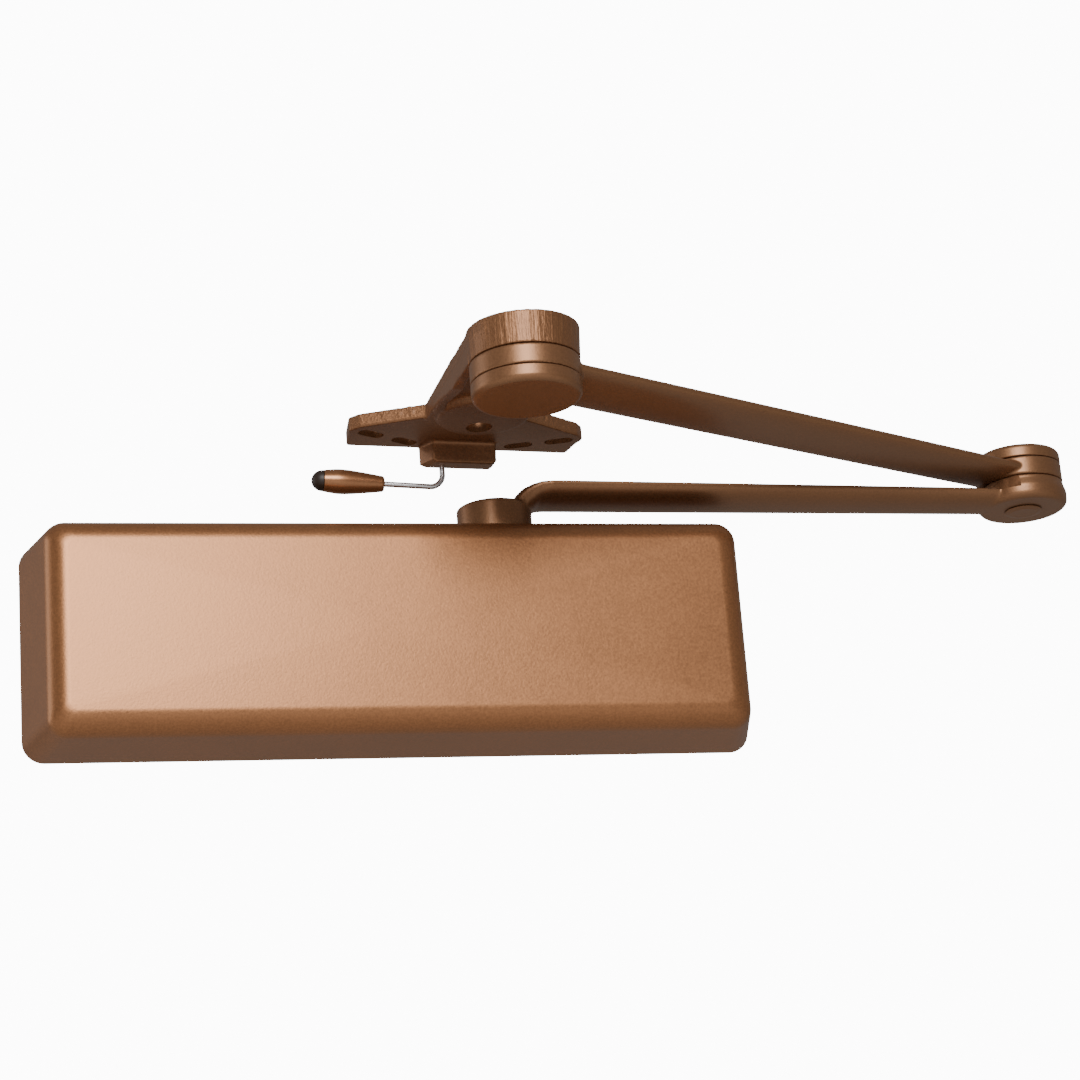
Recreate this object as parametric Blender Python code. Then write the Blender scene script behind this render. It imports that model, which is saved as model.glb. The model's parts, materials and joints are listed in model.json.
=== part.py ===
"""Surface-mounted door closer with a rigid parallel arm and a hold-open shoe.

Metres, +Z up. +X runs along the closer, +Y into the door. The origin is on the face that bears on the
door, midway between the four fixing holes.
"""

from math import atan2, ceil, cos, pi, radians, sin, sqrt, tan

import bmesh
import bpy
from mathutils import Matrix, Vector

# ---------------------------------------------------------------- clearances
GAP = 0.0003                 # between pieces that touch
RUN = 0.0004                 # round a piece that turns or slides

# ---------------------------------------------------------------- fixings and cylinder
PATTERN_LENGTH = 0.3048      # fixing holes, along the door
PATTERN_HEIGHT = 0.01905     # fixing holes, up the door
PATTERN_HOLE_RADIUS = 0.0035
BORE_RADIUS = 0.0185
BORE_Y = -BORE_RADIUS - 0.0040

# ---------------------------------------------------------------- cover
COVER_LENGTH = PATTERN_LENGTH + 0.0296
COVER_SHIFT = 0.0037         # the cover's middle, from midway between the fixings
COVER_HEIGHT = 0.1016
COVER_DEPTH = 2 * BORE_RADIUS + 0.0085
COVER_WALL = 0.0018
COVER_DRAFT = radians(2.4)   # slope of the top and underside
COVER_END_DRAFT = radians(13.5)
COVER_FRONT_RADIUS = 0.0108
COVER_CORNER_RADIUS = 0.0101
COVER_DOOR_GAP = 0.001       # the rim stops short of the door

COVER_TOP = COVER_HEIGHT / 2

# ---------------------------------------------------------------- body casting
CASTING_WALL = 0.003
CASTING_LEFT = -PATTERN_LENGTH / 2 + 0.0094
CASTING_RIGHT = PATTERN_LENGTH / 2 - 0.0364
FOOT_THICKNESS = 0.009
FOOT_HALF_HEIGHT = 0.0185
FOOT_EDGE = 0.0060           # metal past the fixing holes
PINION_X = 0.0525
BOSS_RADIUS = 0.0185
BOSS_HALF_HEIGHT = COVER_TOP - 0.0088

# ---------------------------------------------------------------- pinion and rack
GEAR_MODULE = 0.00225
GEAR_TEETH = 10
PRESSURE_ANGLE = radians(25)
TOOTH_BACKLASH = 0.0003
ADDENDUM = 0.00195
DEDENDUM = 0.0026
GEAR_HALF_HEIGHT = 0.013
JOURNAL_RADIUS = 0.008
SHAFT_SQUARE = 0.0110        # across the flats, in the main arm's hub
RACK_TRAVEL = 0.0218

# ---------------------------------------------------------------- bearings and glands
BEARING_LOW = 0.0200
BEARING_HIGH = COVER_TOP - 0.0153
GLAND_HIGH = COVER_TOP - 0.0048
GLAND_FLANGE_RADIUS = 0.0165
GLAND_SEAL_RADIUS = 0.0108

# ---------------------------------------------------------------- piston, spring and adjuster
PISTON_END_WALL = 0.013
CHECK_BALL_RADIUS = 0.0024
PLUG_LENGTH = 0.014
PLUG_HEAD_THICKNESS = 0.0035
PLUG_HEAD_RADIUS = BORE_RADIUS - 0.0060
SEAL_SECTION = 0.0022
SEAT_THICKNESS = 0.008
SEAT_X = CASTING_LEFT + 0.0250
SCREW_RADIUS = 0.005
SCREW_END_X = CASTING_LEFT + 0.0570
SPRING_WIRE_RADIUS = 0.0027
SPRING_COIL_RADIUS = BORE_RADIUS - SPRING_WIRE_RADIUS - 0.0020
SPRING_TURNS = 10

# ---------------------------------------------------------------- regulating valves
VALVE_XS = {"backcheck_valve": 0.0150, "sweep_valve": CASTING_RIGHT - 0.0300,
            "latch_valve": CASTING_RIGHT - 0.0140}
VALVE_RADIUS = 0.0032
VALVE_BOSS_RADIUS = 0.0062
VALVE_BOSS_TOP = BORE_RADIUS + 0.0115

# ---------------------------------------------------------------- cover clips
CLIP_X = CASTING_LEFT + 0.0740
CLIP_WIDTH = 0.012
CLIP_THICKNESS = 0.0012
CLIP_PAD_TOP = BORE_RADIUS + 0.0055

# ---------------------------------------------------------------- main arm
MAIN_ARM_LENGTH = 0.264
MAIN_ARM_ANGLE = radians(1.5)
HUB_RADIUS = 0.0173
HUB_LOW = COVER_TOP - 0.0028
HUB_HIGH = COVER_TOP + 0.0107
HUB_EDGE = 0.0008
NECK_LOW = COVER_TOP + 0.0023
ARM_LOW_HUB = COVER_TOP + 0.0120         # underside of the bar
ARM_LOW_ELBOW = COVER_TOP + 0.0133
ARM_THICKNESS_HUB = 0.0084
ARM_THICKNESS_ELBOW = 0.0068
ARM_CROWN = 0.0009           # from the bar's widest level up to its flat top
ARM_HALF_WIDTH_HUB = 0.0159
ARM_HALF_WIDTH_ELBOW = 0.0140
EYE_RADIUS = 0.0206          # elbow rings and cap
EYE_FLARE = 0.0011           # the lower eye swells by this much
EYE_TOP = COVER_TOP + 0.0250
RIVET_RADIUS = 0.0062
RIVET_HEAD_RADIUS = 0.0090

# ---------------------------------------------------------------- forearm
FOREARM_LENGTH = 0.2995
FOREARM_ANGLE = radians(-155.33)
FOREARM_LOW = EYE_TOP + GAP
FOREARM_HIGH = FOREARM_LOW + 0.0090
FOREARM_THICKNESS = 0.0084
FOREARM_HALF_WIDTH_ELBOW = 0.0150
FOREARM_HALF_WIDTH_DRUM = 0.0186
ELBOW_CAP_HIGH = FOREARM_HIGH + 0.0068

# ---------------------------------------------------------------- shoe
SHOE_YAW = radians(4.5)
DRUM_RADIUS = 0.0240
DRUM_LOW = FOREARM_HIGH + GAP
DRUM_FLARE = 0.0007          # the drum is this much wider at its top
SHOE_TOP = DRUM_LOW + 0.0149
PLATE_THICKNESS = 0.0068
PLATE_CENTRE = 0.004         # sideways from the neck's middle line
PLATE_HALF_LENGTH = 0.0560
PLATE_BACK = 0.1245          # back edge, from the drum's axis
PLATE_TIP_FRONT = 0.1050
PLATE_ROOT_FRONT = 0.0850
PLATE_ROOT_HALF = 0.0230
NECK_HALF_PLATE = 0.0205
NECK_RIB = 0.0050
RING_RADIUS = 0.0230
RING_CENTRE = 0.0790
RING_DROP = 0.0024
HOLE_SIDE = 0.0050           # centre hole, from the neck's middle line
HOLE_DISTANCE = 0.0900       # centre hole, from the drum's axis
HOLE_RADIUS = 0.0060
SLOT_RADIUS = 0.0032
BLOCK_CENTRE = 0.0050
BLOCK_HALF = 0.0150
BLOCK_FRONT = 0.1135
BLOCK_LOW = DRUM_LOW - 0.0021
BLOCK_SPLAY = 0.0050         # the lip is this much wider at its back, on the left
DRUM_CAP_LOW = FOREARM_LOW - 0.0076
STUD_RADIUS = 0.0070

# ---------------------------------------------------------------- hold-open handle
HANDLE_PIVOT = -0.0050       # sideways from the neck's middle line
HANDLE_ROD_RADIUS = 0.0013
HANDLE_Z = BLOCK_LOW - 0.0101       # of the rod's level stretch, at the bend
HANDLE_TILT = radians(3.1)   # the grip rises away from the bend
HANDLE_BEND = 0.0060
GRIP_START = 0.0275          # from the pivot to the grip's small end
GRIP_LENGTH = 0.0335
GRIP_TIP_LENGTH = 0.0055
GRIP_SMALL_RADIUS = 0.0036
GRIP_BULGE_RADIUS = 0.0059

# ---------------------------------------------------------------- the main arm's cranked neck
# distance from the pinion's axis, share of the underside's rise, share of the top's rise, half width
NECK = [(0.0062, 0.0, 0.0, 0.0122), (0.0078, 0.0, 0.30, 0.0127), (0.0095, 0.03, 0.53, 0.0132),
        (0.0120, 0.15, 0.75, 0.0138), (0.0160, 0.55, 0.92, 0.0147), (0.0205, 0.92, 1.0, 0.0156),
        (0.0250, 1.0, 1.0, ARM_HALF_WIDTH_HUB)]

# ---------------------------------------------------------------- worked out
PITCH_RADIUS = GEAR_MODULE * GEAR_TEETH / 2
TOOTH_PITCH = pi * GEAR_MODULE
CASTING_RADIUS = BORE_RADIUS + CASTING_WALL
PISTON_RADIUS = BORE_RADIUS - GAP
GEAR_TIP_RADIUS = PITCH_RADIUS + ADDENDUM
WINDOW_LEFT = PINION_X - GEAR_TIP_RADIUS - 0.001
WINDOW_RIGHT = PINION_X + GEAR_TIP_RADIUS + 0.001 + RACK_TRAVEL
PISTON_LEFT = WINDOW_LEFT - PISTON_END_WALL - 0.001
PISTON_RIGHT = WINDOW_RIGHT + PISTON_END_WALL - 0.003
PINION_BORE_RADIUS = GEAR_TIP_RADIUS + GAP
BEARING_RADIUS = PINION_BORE_RADIUS - GAP
PLATE_LOW = SHOE_TOP - PLATE_THICKNESS
PIN = Vector((PINION_X, BORE_Y, 0.0))
ELBOW = PIN + MAIN_ARM_LENGTH * Vector((cos(MAIN_ARM_ANGLE), sin(MAIN_ARM_ANGLE), 0.0))
DRUM = ELBOW + FOREARM_LENGTH * Vector((cos(FOREARM_ANGLE), sin(FOREARM_ANGLE), 0.0))

BRONZE = ("bronze_paint", (0.33, 0.19, 0.12), 0.42, 0.75)
IRON = ("cast_iron", (0.16, 0.16, 0.165), 0.62, 0.55)
STEEL = ("bright_steel", (0.62, 0.62, 0.63), 0.28, 1.0)
SPRING_STEEL = ("spring_steel", (0.12, 0.12, 0.13), 0.38, 0.9)
ZINC = ("zinc_plate", (0.72, 0.72, 0.73), 0.25, 1.0)
RUBBER = ("seal_rubber", (0.03, 0.03, 0.03), 0.8, 0.0)
TIP = ("dark_tip", (0.035, 0.022, 0.015), 0.5, 0.0)


# ---------------------------------------------------------------- scene helpers
def clear_scene():
    """Remove what the file starts with."""
    for old in list(bpy.data.objects):
        bpy.data.objects.remove(old, do_unlink=True)


def material(finish):
    """Give the Principled material of a finish, made once."""
    name, colour, roughness, metallic = finish
    found = bpy.data.materials.get(name)
    if found:
        return found
    made = bpy.data.materials.new(name)
    made.use_nodes = True
    shader = made.node_tree.nodes["Principled BSDF"]
    shader.inputs["Base Color"].default_value = (*colour, 1.0)
    shader.inputs["Roughness"].default_value = roughness
    shader.inputs["Metallic"].default_value = metallic
    return made


def empty(name, place, parent=None):
    """Mark a joint's axis with an empty."""
    made = bpy.data.objects.new(name, None)
    made.empty_display_size = 0.02
    bpy.context.collection.objects.link(made)
    made.parent = parent
    base = parent.matrix_world.translation if parent else Vector((0.0, 0.0, 0.0))
    made.location = Vector(place) - base
    bpy.context.view_layer.update()
    return made


def finish_object(bm, name, finish, parent):
    """Turn a bmesh, drawn in world places, into a named object under its joint's empty."""
    bmesh.ops.recalc_face_normals(bm, faces=bm.faces)
    base = parent.matrix_world.translation if parent else Vector((0.0, 0.0, 0.0))
    bmesh.ops.translate(bm, verts=bm.verts, vec=-base)
    mesh = bpy.data.meshes.new(name)
    bm.to_mesh(mesh)
    bm.free()
    mesh.shade_smooth()
    mesh.set_sharp_from_angle(angle=radians(30))
    made = bpy.data.objects.new(name, mesh)
    bpy.context.collection.objects.link(made)
    made.parent = parent
    if finish:
        mesh.materials.append(material(finish))
    return made


def cutter(bm, name, parent):
    """Turn a bmesh into a guide that the build leaves out."""
    made = finish_object(bm, name, None, parent)
    made.hide_render = True
    made.display_type = "WIRE"
    return made


def boolean(target, tool, operation):
    """Cut, join or trim an object by a guide."""
    step = target.modifiers.new(f"{operation.lower()}_{tool.name}", "BOOLEAN")
    step.operation = operation
    step.solver = "EXACT"
    step.object = tool


# ---------------------------------------------------------------- shape helpers
def circle_steps(radius):
    """Give a circle enough sides that its flats stay well inside the clearances."""
    if radius > 0.008:
        return 24
    return 16 if radius > 0.003 else 12


def arc(centre, radius, start, end, steps):
    """List points along an arc, both ends in."""
    turns = (start + (end - start) * k / steps for k in range(steps + 1))
    return [(centre[0] + radius * cos(a), centre[1] + radius * sin(a)) for a in turns]


def lathe_into(bm, profile, centre, axis="Z", steps=None):
    """Turn a closed profile of (radius, height) about an axis through a centre."""
    steps = steps or circle_steps(max(radius for radius, _ in profile))
    rings = []
    for radius, height in profile:
        if radius < 1e-7:
            rings.append([bm.verts.new((0.0, 0.0, height))])
            continue
        turn = [2 * pi * k / steps for k in range(steps)]
        rings.append([bm.verts.new((radius * cos(a), radius * sin(a), height)) for a in turn])
    for first, second in zip(rings, rings[1:] + rings[:1]):
        if len(first) == 1 and len(second) == 1:
            continue
        for k in range(steps):
            after = (k + 1) % steps
            corners = [first[k % len(first)], first[after % len(first)]]
            corners += [second[after % len(second)], second[k % len(second)]]
            bm.faces.new(list(dict.fromkeys(corners)))
    turns = {"Z": Matrix.Identity(4), "X": Matrix.Rotation(pi / 2, 4, "Y"),
             "Y": Matrix.Rotation(-pi / 2, 4, "X")}
    move = Matrix.Translation(Vector(centre)) @ turns[axis]
    bmesh.ops.transform(bm, matrix=move, verts=[v for ring in rings for v in ring])


def lathe(profile, centre, axis="Z", steps=None):
    """Make a bmesh of one turned profile."""
    bm = bmesh.new()
    lathe_into(bm, profile, centre, axis, steps)
    return bm


def tube_profile(inner, outer, low, high):
    """Give the profile of a plain ring."""
    return [(inner, low), (outer, low), (outer, high), (inner, high)]


def rod_profile(radius, low, high):
    """Give the profile of a plain round bar."""
    return [(0.0, low), (radius, low), (radius, high), (0.0, high)]


def chamfered_profile(radius, low, high, edge):
    """Give the profile of a round bar with both edges broken."""
    return [(0.0, low), (radius - edge, low), (radius, low + edge), (radius, high - edge),
            (radius - edge, high), (0.0, high)]


def prism_into(bm, outline, low, high, axis="Z"):
    """Extrude a closed outline along an axis."""
    places = {"Z": lambda a, b, h: (a, b, h), "Y": lambda a, b, h: (a, h, b), "X": lambda a, b, h: (h, a, b)}
    put = places[axis]
    lower = [bm.verts.new(put(a, b, low)) for a, b in outline]
    upper = [bm.verts.new(put(a, b, high)) for a, b in outline]
    bm.faces.new(lower)
    bm.faces.new(upper)
    for k in range(len(outline)):
        after = (k + 1) % len(outline)
        bm.faces.new((lower[k], lower[after], upper[after], upper[k]))


def prism(outline, low, high, axis="Z"):
    """Make a bmesh of one extruded outline."""
    bm = bmesh.new()
    prism_into(bm, outline, low, high, axis)
    return bm


def box(low, high):
    """Make a bmesh of one box from its two corners."""
    outline = [(low[0], low[1]), (high[0], low[1]), (high[0], high[1]), (low[0], high[1])]
    return prism(outline, low[2], high[2])


def loft_into(bm, rings):
    """Skin a row of closed rings that hold equal numbers of points, and close its ends."""
    made = [[bm.verts.new(point) for point in ring] for ring in rings]
    for first, second in zip(made, made[1:]):
        for k in range(len(first)):
            after = (k + 1) % len(first)
            bm.faces.new((first[k], first[after], second[after], second[k]))
    bm.faces.new(made[0])
    bm.faces.new(made[-1])


def cut_cylinder(target, name, centre, radius, low, high, axis="Z", steps=None):
    """Drill a round hole in an object."""
    tool = cutter(lathe(rod_profile(radius, low, high), centre, axis, steps), name, target.parent)
    boolean(target, tool, "DIFFERENCE")


def cut_prism(target, name, outline, low, high, axis="Z"):
    """Cut an outline's prism out of an object."""
    boolean(target, cutter(prism(outline, low, high, axis), name, target.parent), "DIFFERENCE")


def join(target, bm, name):
    """Join a bmesh to an object."""
    boolean(target, cutter(bm, name, target.parent), "UNION")


# ---------------------------------------------------------------- cover
def rounded_rectangle(half_length, half_height, radius, steps=4):
    """List a rounded rectangle's points in X and Z."""
    points = []
    for quarter, (sx, sz) in enumerate(((1, 1), (-1, 1), (-1, -1), (1, -1))):
        centre = (sx * (half_length - radius), sz * (half_height - radius))
        points += arc(centre, radius, quarter * pi / 2, (quarter + 1) * pi / 2, steps)
    return points


def cover_inset(draft, shrink, y):
    """Give how far in from its rim a drafted side of the cover lies at Y, its front edge rounded."""
    rim = -COVER_DOOR_GAP
    edge = COVER_FRONT_RADIUS - shrink
    middle = rim - COVER_DEPTH + COVER_FRONT_RADIUS
    if y > middle - edge * sin(draft):
        return shrink / cos(draft) + tan(draft) * (rim - y)
    reach = shrink / cos(draft) + tan(draft) * (rim - middle) + edge / cos(draft)
    return reach - sqrt(max(edge * edge - (middle - y) ** 2, 0.0))


def cover_rings(shrink):
    """List the cover's rings from its rim to its front, for the skin that lies shrink inside it."""
    rim = -COVER_DOOR_GAP
    front = rim - COVER_DEPTH + shrink
    edge = COVER_FRONT_RADIUS - shrink
    rings = []
    for y in [rim] + [front + edge * (1 - sin(k * pi / 12)) for k in range(7)]:
        end = cover_inset(COVER_END_DRAFT, shrink, y)
        side = cover_inset(COVER_DRAFT, shrink, y)
        radius = max(COVER_CORNER_RADIUS - 0.5 * side, 0.0015)
        outline = rounded_rectangle(COVER_LENGTH / 2 - end, COVER_TOP - side, radius)
        rings.append([(COVER_SHIFT + x, y, z) for x, z in outline])
    return rings


def make_cover():
    """Make the drawn cover: a shell open towards the door, with a notch round the main arm's hub."""
    bm = bmesh.new()
    outer = [[bm.verts.new(point) for point in ring] for ring in cover_rings(0.0)]
    inner = [[bm.verts.new(point) for point in ring] for ring in cover_rings(COVER_WALL)]
    for skin in (outer, inner):
        for first, second in zip(skin, skin[1:]):
            for k in range(len(first)):
                after = (k + 1) % len(first)
                bm.faces.new((first[k], first[after], second[after], second[k]))
        bm.faces.new(skin[-1])
    count = len(outer[0])
    for k in range(count):
        after = (k + 1) % count
        bm.faces.new((outer[0][k], outer[0][after], inner[0][after], inner[0][k]))
    cover = finish_object(bm, "cover", BRONZE, None)
    half = HUB_RADIUS + 2 * GAP
    notch = [(PINION_X - half, 0.01), *arc((PINION_X, BORE_Y), half, pi, 2 * pi, 10), (PINION_X + half, 0.01)]
    cut_prism(cover, "cover_notch", notch, COVER_TOP - 0.006, COVER_TOP + 0.006)
    return cover


# ---------------------------------------------------------------- body casting
def make_casting():
    """Make the iron body: cylinder, pinion boss, feet, valve bosses and clip pads, all bored."""
    along = (0.0, BORE_Y, 0.0)
    casting = finish_object(lathe(rod_profile(CASTING_RADIUS, CASTING_LEFT, CASTING_RIGHT), along, "X", 36),
                            "body_casting", IRON, None)
    half = PATTERN_LENGTH / 2 + FOOT_EDGE
    foot = rounded_rectangle(half, FOOT_HALF_HEIGHT, 0.006, 3)
    join(casting, prism(foot, -FOOT_THICKNESS, 0.0, "Y"), "casting_feet")
    join(casting, lathe(rod_profile(BOSS_RADIUS, -BOSS_HALF_HEIGHT, BOSS_HALF_HEIGHT), PIN), "casting_boss")
    for name, x in VALVE_XS.items():
        boss = rod_profile(VALVE_BOSS_RADIUS, BORE_RADIUS * 0.8, VALVE_BOSS_TOP)
        join(casting, lathe(boss, (x, BORE_Y, 0.0), "Z", 12), f"casting_{name}_boss")
    for side, sign in (("upper", 1), ("lower", -1)):
        low, high = sorted((sign * BORE_RADIUS * 0.8, sign * CLIP_PAD_TOP))
        pad = box((CLIP_X - 0.007, BORE_Y - 0.007, low), (CLIP_X + 0.007, BORE_Y + 0.007, high))
        join(casting, pad, f"casting_{side}_pad")
    for sx in (-1, 1):
        for sz in (-1, 1):
            place = (sx * PATTERN_LENGTH / 2, 0.0, sz * PATTERN_HEIGHT / 2)
            cut_cylinder(casting, f"casting_fixing_{sx + 1}{sz + 1}", place, PATTERN_HOLE_RADIUS,
                         -FOOT_THICKNESS - 0.005, 0.005, "Y")
    for name, x in VALVE_XS.items():
        cut_cylinder(casting, f"casting_{name}_hole", (x, BORE_Y, 0.0), VALVE_RADIUS + RUN,
                     BORE_RADIUS - 0.005, VALVE_BOSS_TOP + 0.005, "Z", 12)
    for side, sign in (("upper", 1), ("lower", -1)):
        low, high = sorted((sign * (CLIP_PAD_TOP - 0.0042), sign * (CLIP_PAD_TOP + 0.002)))
        cut_cylinder(casting, f"casting_{side}_clip_hole", (CLIP_X, BORE_Y, 0.0), 0.0023, low, high)
    cut_cylinder(casting, "casting_bore", along, BORE_RADIUS, CASTING_LEFT - 0.005, CASTING_RIGHT + 0.01,
                 "X", 32)
    cut_cylinder(casting, "casting_pinion_bore", PIN, PINION_BORE_RADIUS, -BOSS_HALF_HEIGHT - 0.005,
                 BOSS_HALF_HEIGHT + 0.005)
    return casting


def make_end_plug(name, end, outward, hole_radius):
    """Make an end plug: a disc with a groove for its seal and a narrower head outside the bore."""
    outer = BORE_RADIUS - GAP
    groove = outer - SEAL_SECTION + GAP
    start = end - outward * PLUG_LENGTH
    seal_at = end - outward * PLUG_LENGTH * 0.5
    half = SEAL_SECTION / 2 + GAP
    back = end + outward * PLUG_HEAD_THICKNESS
    profile = [(hole_radius, start), (outer, start), (outer, seal_at - outward * half),
               (groove - GAP, seal_at - outward * half), (groove - GAP, seal_at + outward * half),
               (outer, seal_at + outward * half), (outer, end), (PLUG_HEAD_RADIUS, end),
               (PLUG_HEAD_RADIUS, back), (hole_radius, back)]
    finish_object(lathe(profile, (0.0, BORE_Y, 0.0), "X"), name, STEEL, None)
    ring = tube_profile(groove, outer - 0.0001, seal_at - SEAL_SECTION / 2, seal_at + SEAL_SECTION / 2)
    finish_object(lathe(ring, (0.0, BORE_Y, 0.0), "X", 18), f"{name}_seal", RUBBER, None)


def make_bearing_stack(side, sign):
    """Make one end's needle bearing, lip seal and gland nut, round the pinion shaft."""
    bearing = tube_profile(JOURNAL_RADIUS + RUN, BEARING_RADIUS, sign * BEARING_LOW, sign * BEARING_HIGH)
    finish_object(lathe(bearing, PIN), f"{side}_bearing", STEEL, None)
    start = sign * (BEARING_HIGH + GAP)
    ledge = sign * (BOSS_HALF_HEIGHT + GAP)
    end = sign * GLAND_HIGH
    gland = [(GLAND_SEAL_RADIUS, start), (BEARING_RADIUS, start), (BEARING_RADIUS, ledge),
             (GLAND_FLANGE_RADIUS, ledge), (GLAND_FLANGE_RADIUS, end), (GLAND_SEAL_RADIUS, end)]
    finish_object(lathe(gland, PIN, "Z", 18), f"{side}_gland_nut", STEEL, None)
    seal = tube_profile(JOURNAL_RADIUS + GAP, GLAND_SEAL_RADIUS - GAP, start + sign * 0.001,
                        end - sign * 0.001)
    finish_object(lathe(seal, PIN, "Z", 18), f"{side}_shaft_seal", RUBBER, None)


def make_clip(side, sign):
    """Make a spring clip that holds the cover, and its screw."""
    foot = CLIP_PAD_TOP + GAP
    top = COVER_TOP - COVER_WALL - tan(COVER_DRAFT) * (COVER_DEPTH / 2 + CLIP_WIDTH / 2) - GAP
    left = CLIP_X - 0.006
    turn = CLIP_X + 0.006
    end = turn + 0.014
    outline = [(left, foot), (turn + CLIP_THICKNESS, foot), (turn + CLIP_THICKNESS, top - CLIP_THICKNESS),
               (end, top - CLIP_THICKNESS), (end, top), (turn, top), (turn, foot + CLIP_THICKNESS),
               (left, foot + CLIP_THICKNESS)]
    outline = [(x, sign * z) for x, z in outline]
    clip = finish_object(prism(outline, BORE_Y - CLIP_WIDTH / 2, BORE_Y + CLIP_WIDTH / 2, "Y"),
                         f"cover_clip_{side}", SPRING_STEEL, None)
    low, high = sorted((sign * (foot - 0.003), sign * (foot + 0.004)))
    cut_cylinder(clip, f"cover_clip_{side}_hole", (CLIP_X, BORE_Y, 0.0), 0.0023, low, high)
    head = foot + CLIP_THICKNESS + GAP
    tip = CLIP_PAD_TOP - 0.0038
    screw = [(0.0, tip), (0.0019, tip), (0.0019, head), (0.0037, head), (0.0037, head + 0.0016),
             (0.0026, head + 0.0024), (0.0, head + 0.0024)]
    screw = [(radius, sign * z) for radius, z in screw]
    finish_object(lathe(screw, (CLIP_X, BORE_Y, 0.0), "Z", 16), f"clip_screw_{side}", ZINC, None)


# ---------------------------------------------------------------- hydraulic valves
def make_valve(name, x):
    """Make a regulating screw with a slotted head, on its own axis, and its seal."""
    axis = empty(f"{name}_axis", (x, BORE_Y, VALVE_BOSS_TOP))
    tip = BORE_RADIUS + 0.0006
    groove = VALVE_RADIUS - 0.0010
    middle = (tip + VALVE_BOSS_TOP) / 2
    profile = [(0.0, tip), (0.0012, tip), (VALVE_RADIUS, tip + 0.0025), (VALVE_RADIUS, middle - 0.0012),
               (groove, middle - 0.0012), (groove, middle + 0.0012), (VALVE_RADIUS, middle + 0.0012),
               (VALVE_RADIUS, VALVE_BOSS_TOP + GAP), (VALVE_RADIUS + 0.0016, VALVE_BOSS_TOP + GAP),
               (VALVE_RADIUS + 0.0016, VALVE_BOSS_TOP + 0.0030), (0.0, VALVE_BOSS_TOP + 0.0030)]
    valve = finish_object(lathe(profile, (x, BORE_Y, 0.0), "Z", 16), name, ZINC, axis)
    slot = box((x - 0.0006, BORE_Y - 0.008, VALVE_BOSS_TOP + 0.0016),
               (x + 0.0006, BORE_Y + 0.008, VALVE_BOSS_TOP + 0.006))
    boolean(valve, cutter(slot, f"{name}_slot", axis), "DIFFERENCE")
    ring = tube_profile(groove + GAP, VALVE_RADIUS, middle - 0.0009, middle + 0.0009)
    finish_object(lathe(ring, (x, BORE_Y, 0.0), "Z", 12), f"{name}_seal", RUBBER, axis)


# ---------------------------------------------------------------- pinion, rack and spring
def involute(radius):
    """Give the involute function at a radius on the pinion's flank, 0 at its base circle or inside it."""
    base = PITCH_RADIUS * cos(PRESSURE_ANGLE)
    roll = sqrt(max(radius * radius / (base * base) - 1, 0.0))
    return roll - atan2(roll, 1.0)


def tooth_half_angle(radius):
    """Give half the angle that a pinion tooth spans at a radius."""
    half_pitch = (TOOTH_PITCH / 2 - TOOTH_BACKLASH) / (2 * PITCH_RADIUS)
    return half_pitch + involute(PITCH_RADIUS) - involute(radius)


def gear_outline():
    """List the pinion's outline about its axis, with a tooth pointing towards the rack."""
    base = PITCH_RADIUS * cos(PRESSURE_ANGLE)
    root = PITCH_RADIUS - DEDENDUM
    radii = [root, base, (base + PITCH_RADIUS) / 2, PITCH_RADIUS, (PITCH_RADIUS + GEAR_TIP_RADIUS) / 2,
             GEAR_TIP_RADIUS]
    points = []
    for tooth in range(GEAR_TEETH):
        middle = -pi / 2 + 2 * pi * tooth / GEAR_TEETH
        left = [(r, middle - tooth_half_angle(r)) for r in radii]
        right = [(r, middle + tooth_half_angle(r)) for r in reversed(radii)]
        points += [(r * cos(a), r * sin(a)) for r, a in left + right]
    return points


def make_pinion(axis):
    """Make the pinion shaft: toothed middle, two journals and a squared upper end."""
    journal = chamfered_profile(JOURNAL_RADIUS, -GLAND_HIGH + 0.003, HUB_LOW - 0.001, 0.0008)
    shaft = finish_object(lathe(journal, PIN), "pinion_shaft", STEEL, axis)
    teeth = [(PIN.x + x, PIN.y + y) for x, y in gear_outline()]
    join(shaft, prism(teeth, -GEAR_HALF_HEIGHT, GEAR_HALF_HEIGHT), "pinion_teeth")
    half = SHAFT_SQUARE / 2
    turned = [(PIN.x + sx * half, PIN.y + sy * half) for sx, sy in ((-1, -1), (1, -1), (1, 1), (-1, 1))]
    join(shaft, prism(turned, HUB_LOW - 0.003, HUB_HIGH - GAP), "pinion_square")
    cut_cylinder(shaft, "pinion_tapping", PIN, 0.0034, HUB_HIGH - 0.017, HUB_HIGH + 0.005)


def rack_outline():
    """List the piston's window, with the rack's teeth standing into it from the front."""
    pitch_line = BORE_Y - PITCH_RADIUS
    tip = pitch_line + ADDENDUM
    root = pitch_line - DEDENDUM
    half_pitch = (TOOTH_PITCH / 2 - TOOTH_BACKLASH) / 2
    half_tip = half_pitch - ADDENDUM * tan(PRESSURE_ANGLE)
    half_root = half_pitch + DEDENDUM * tan(PRESSURE_ANGLE)
    back = BORE_Y + GEAR_TIP_RADIUS + 0.0006
    points = [(WINDOW_RIGHT, back), (WINDOW_LEFT, back), (WINDOW_LEFT, root)]
    first = ceil((WINDOW_LEFT + half_root - PINION_X - TOOTH_PITCH / 2) / TOOTH_PITCH)
    centre = PINION_X + TOOTH_PITCH * (first + 0.5)
    while centre + half_root < WINDOW_RIGHT:
        points += [(centre - half_root, root), (centre - half_tip, tip), (centre + half_tip, tip),
                   (centre + half_root, root)]
        centre += TOOTH_PITCH
    return points + [(WINDOW_RIGHT, root)]


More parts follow.
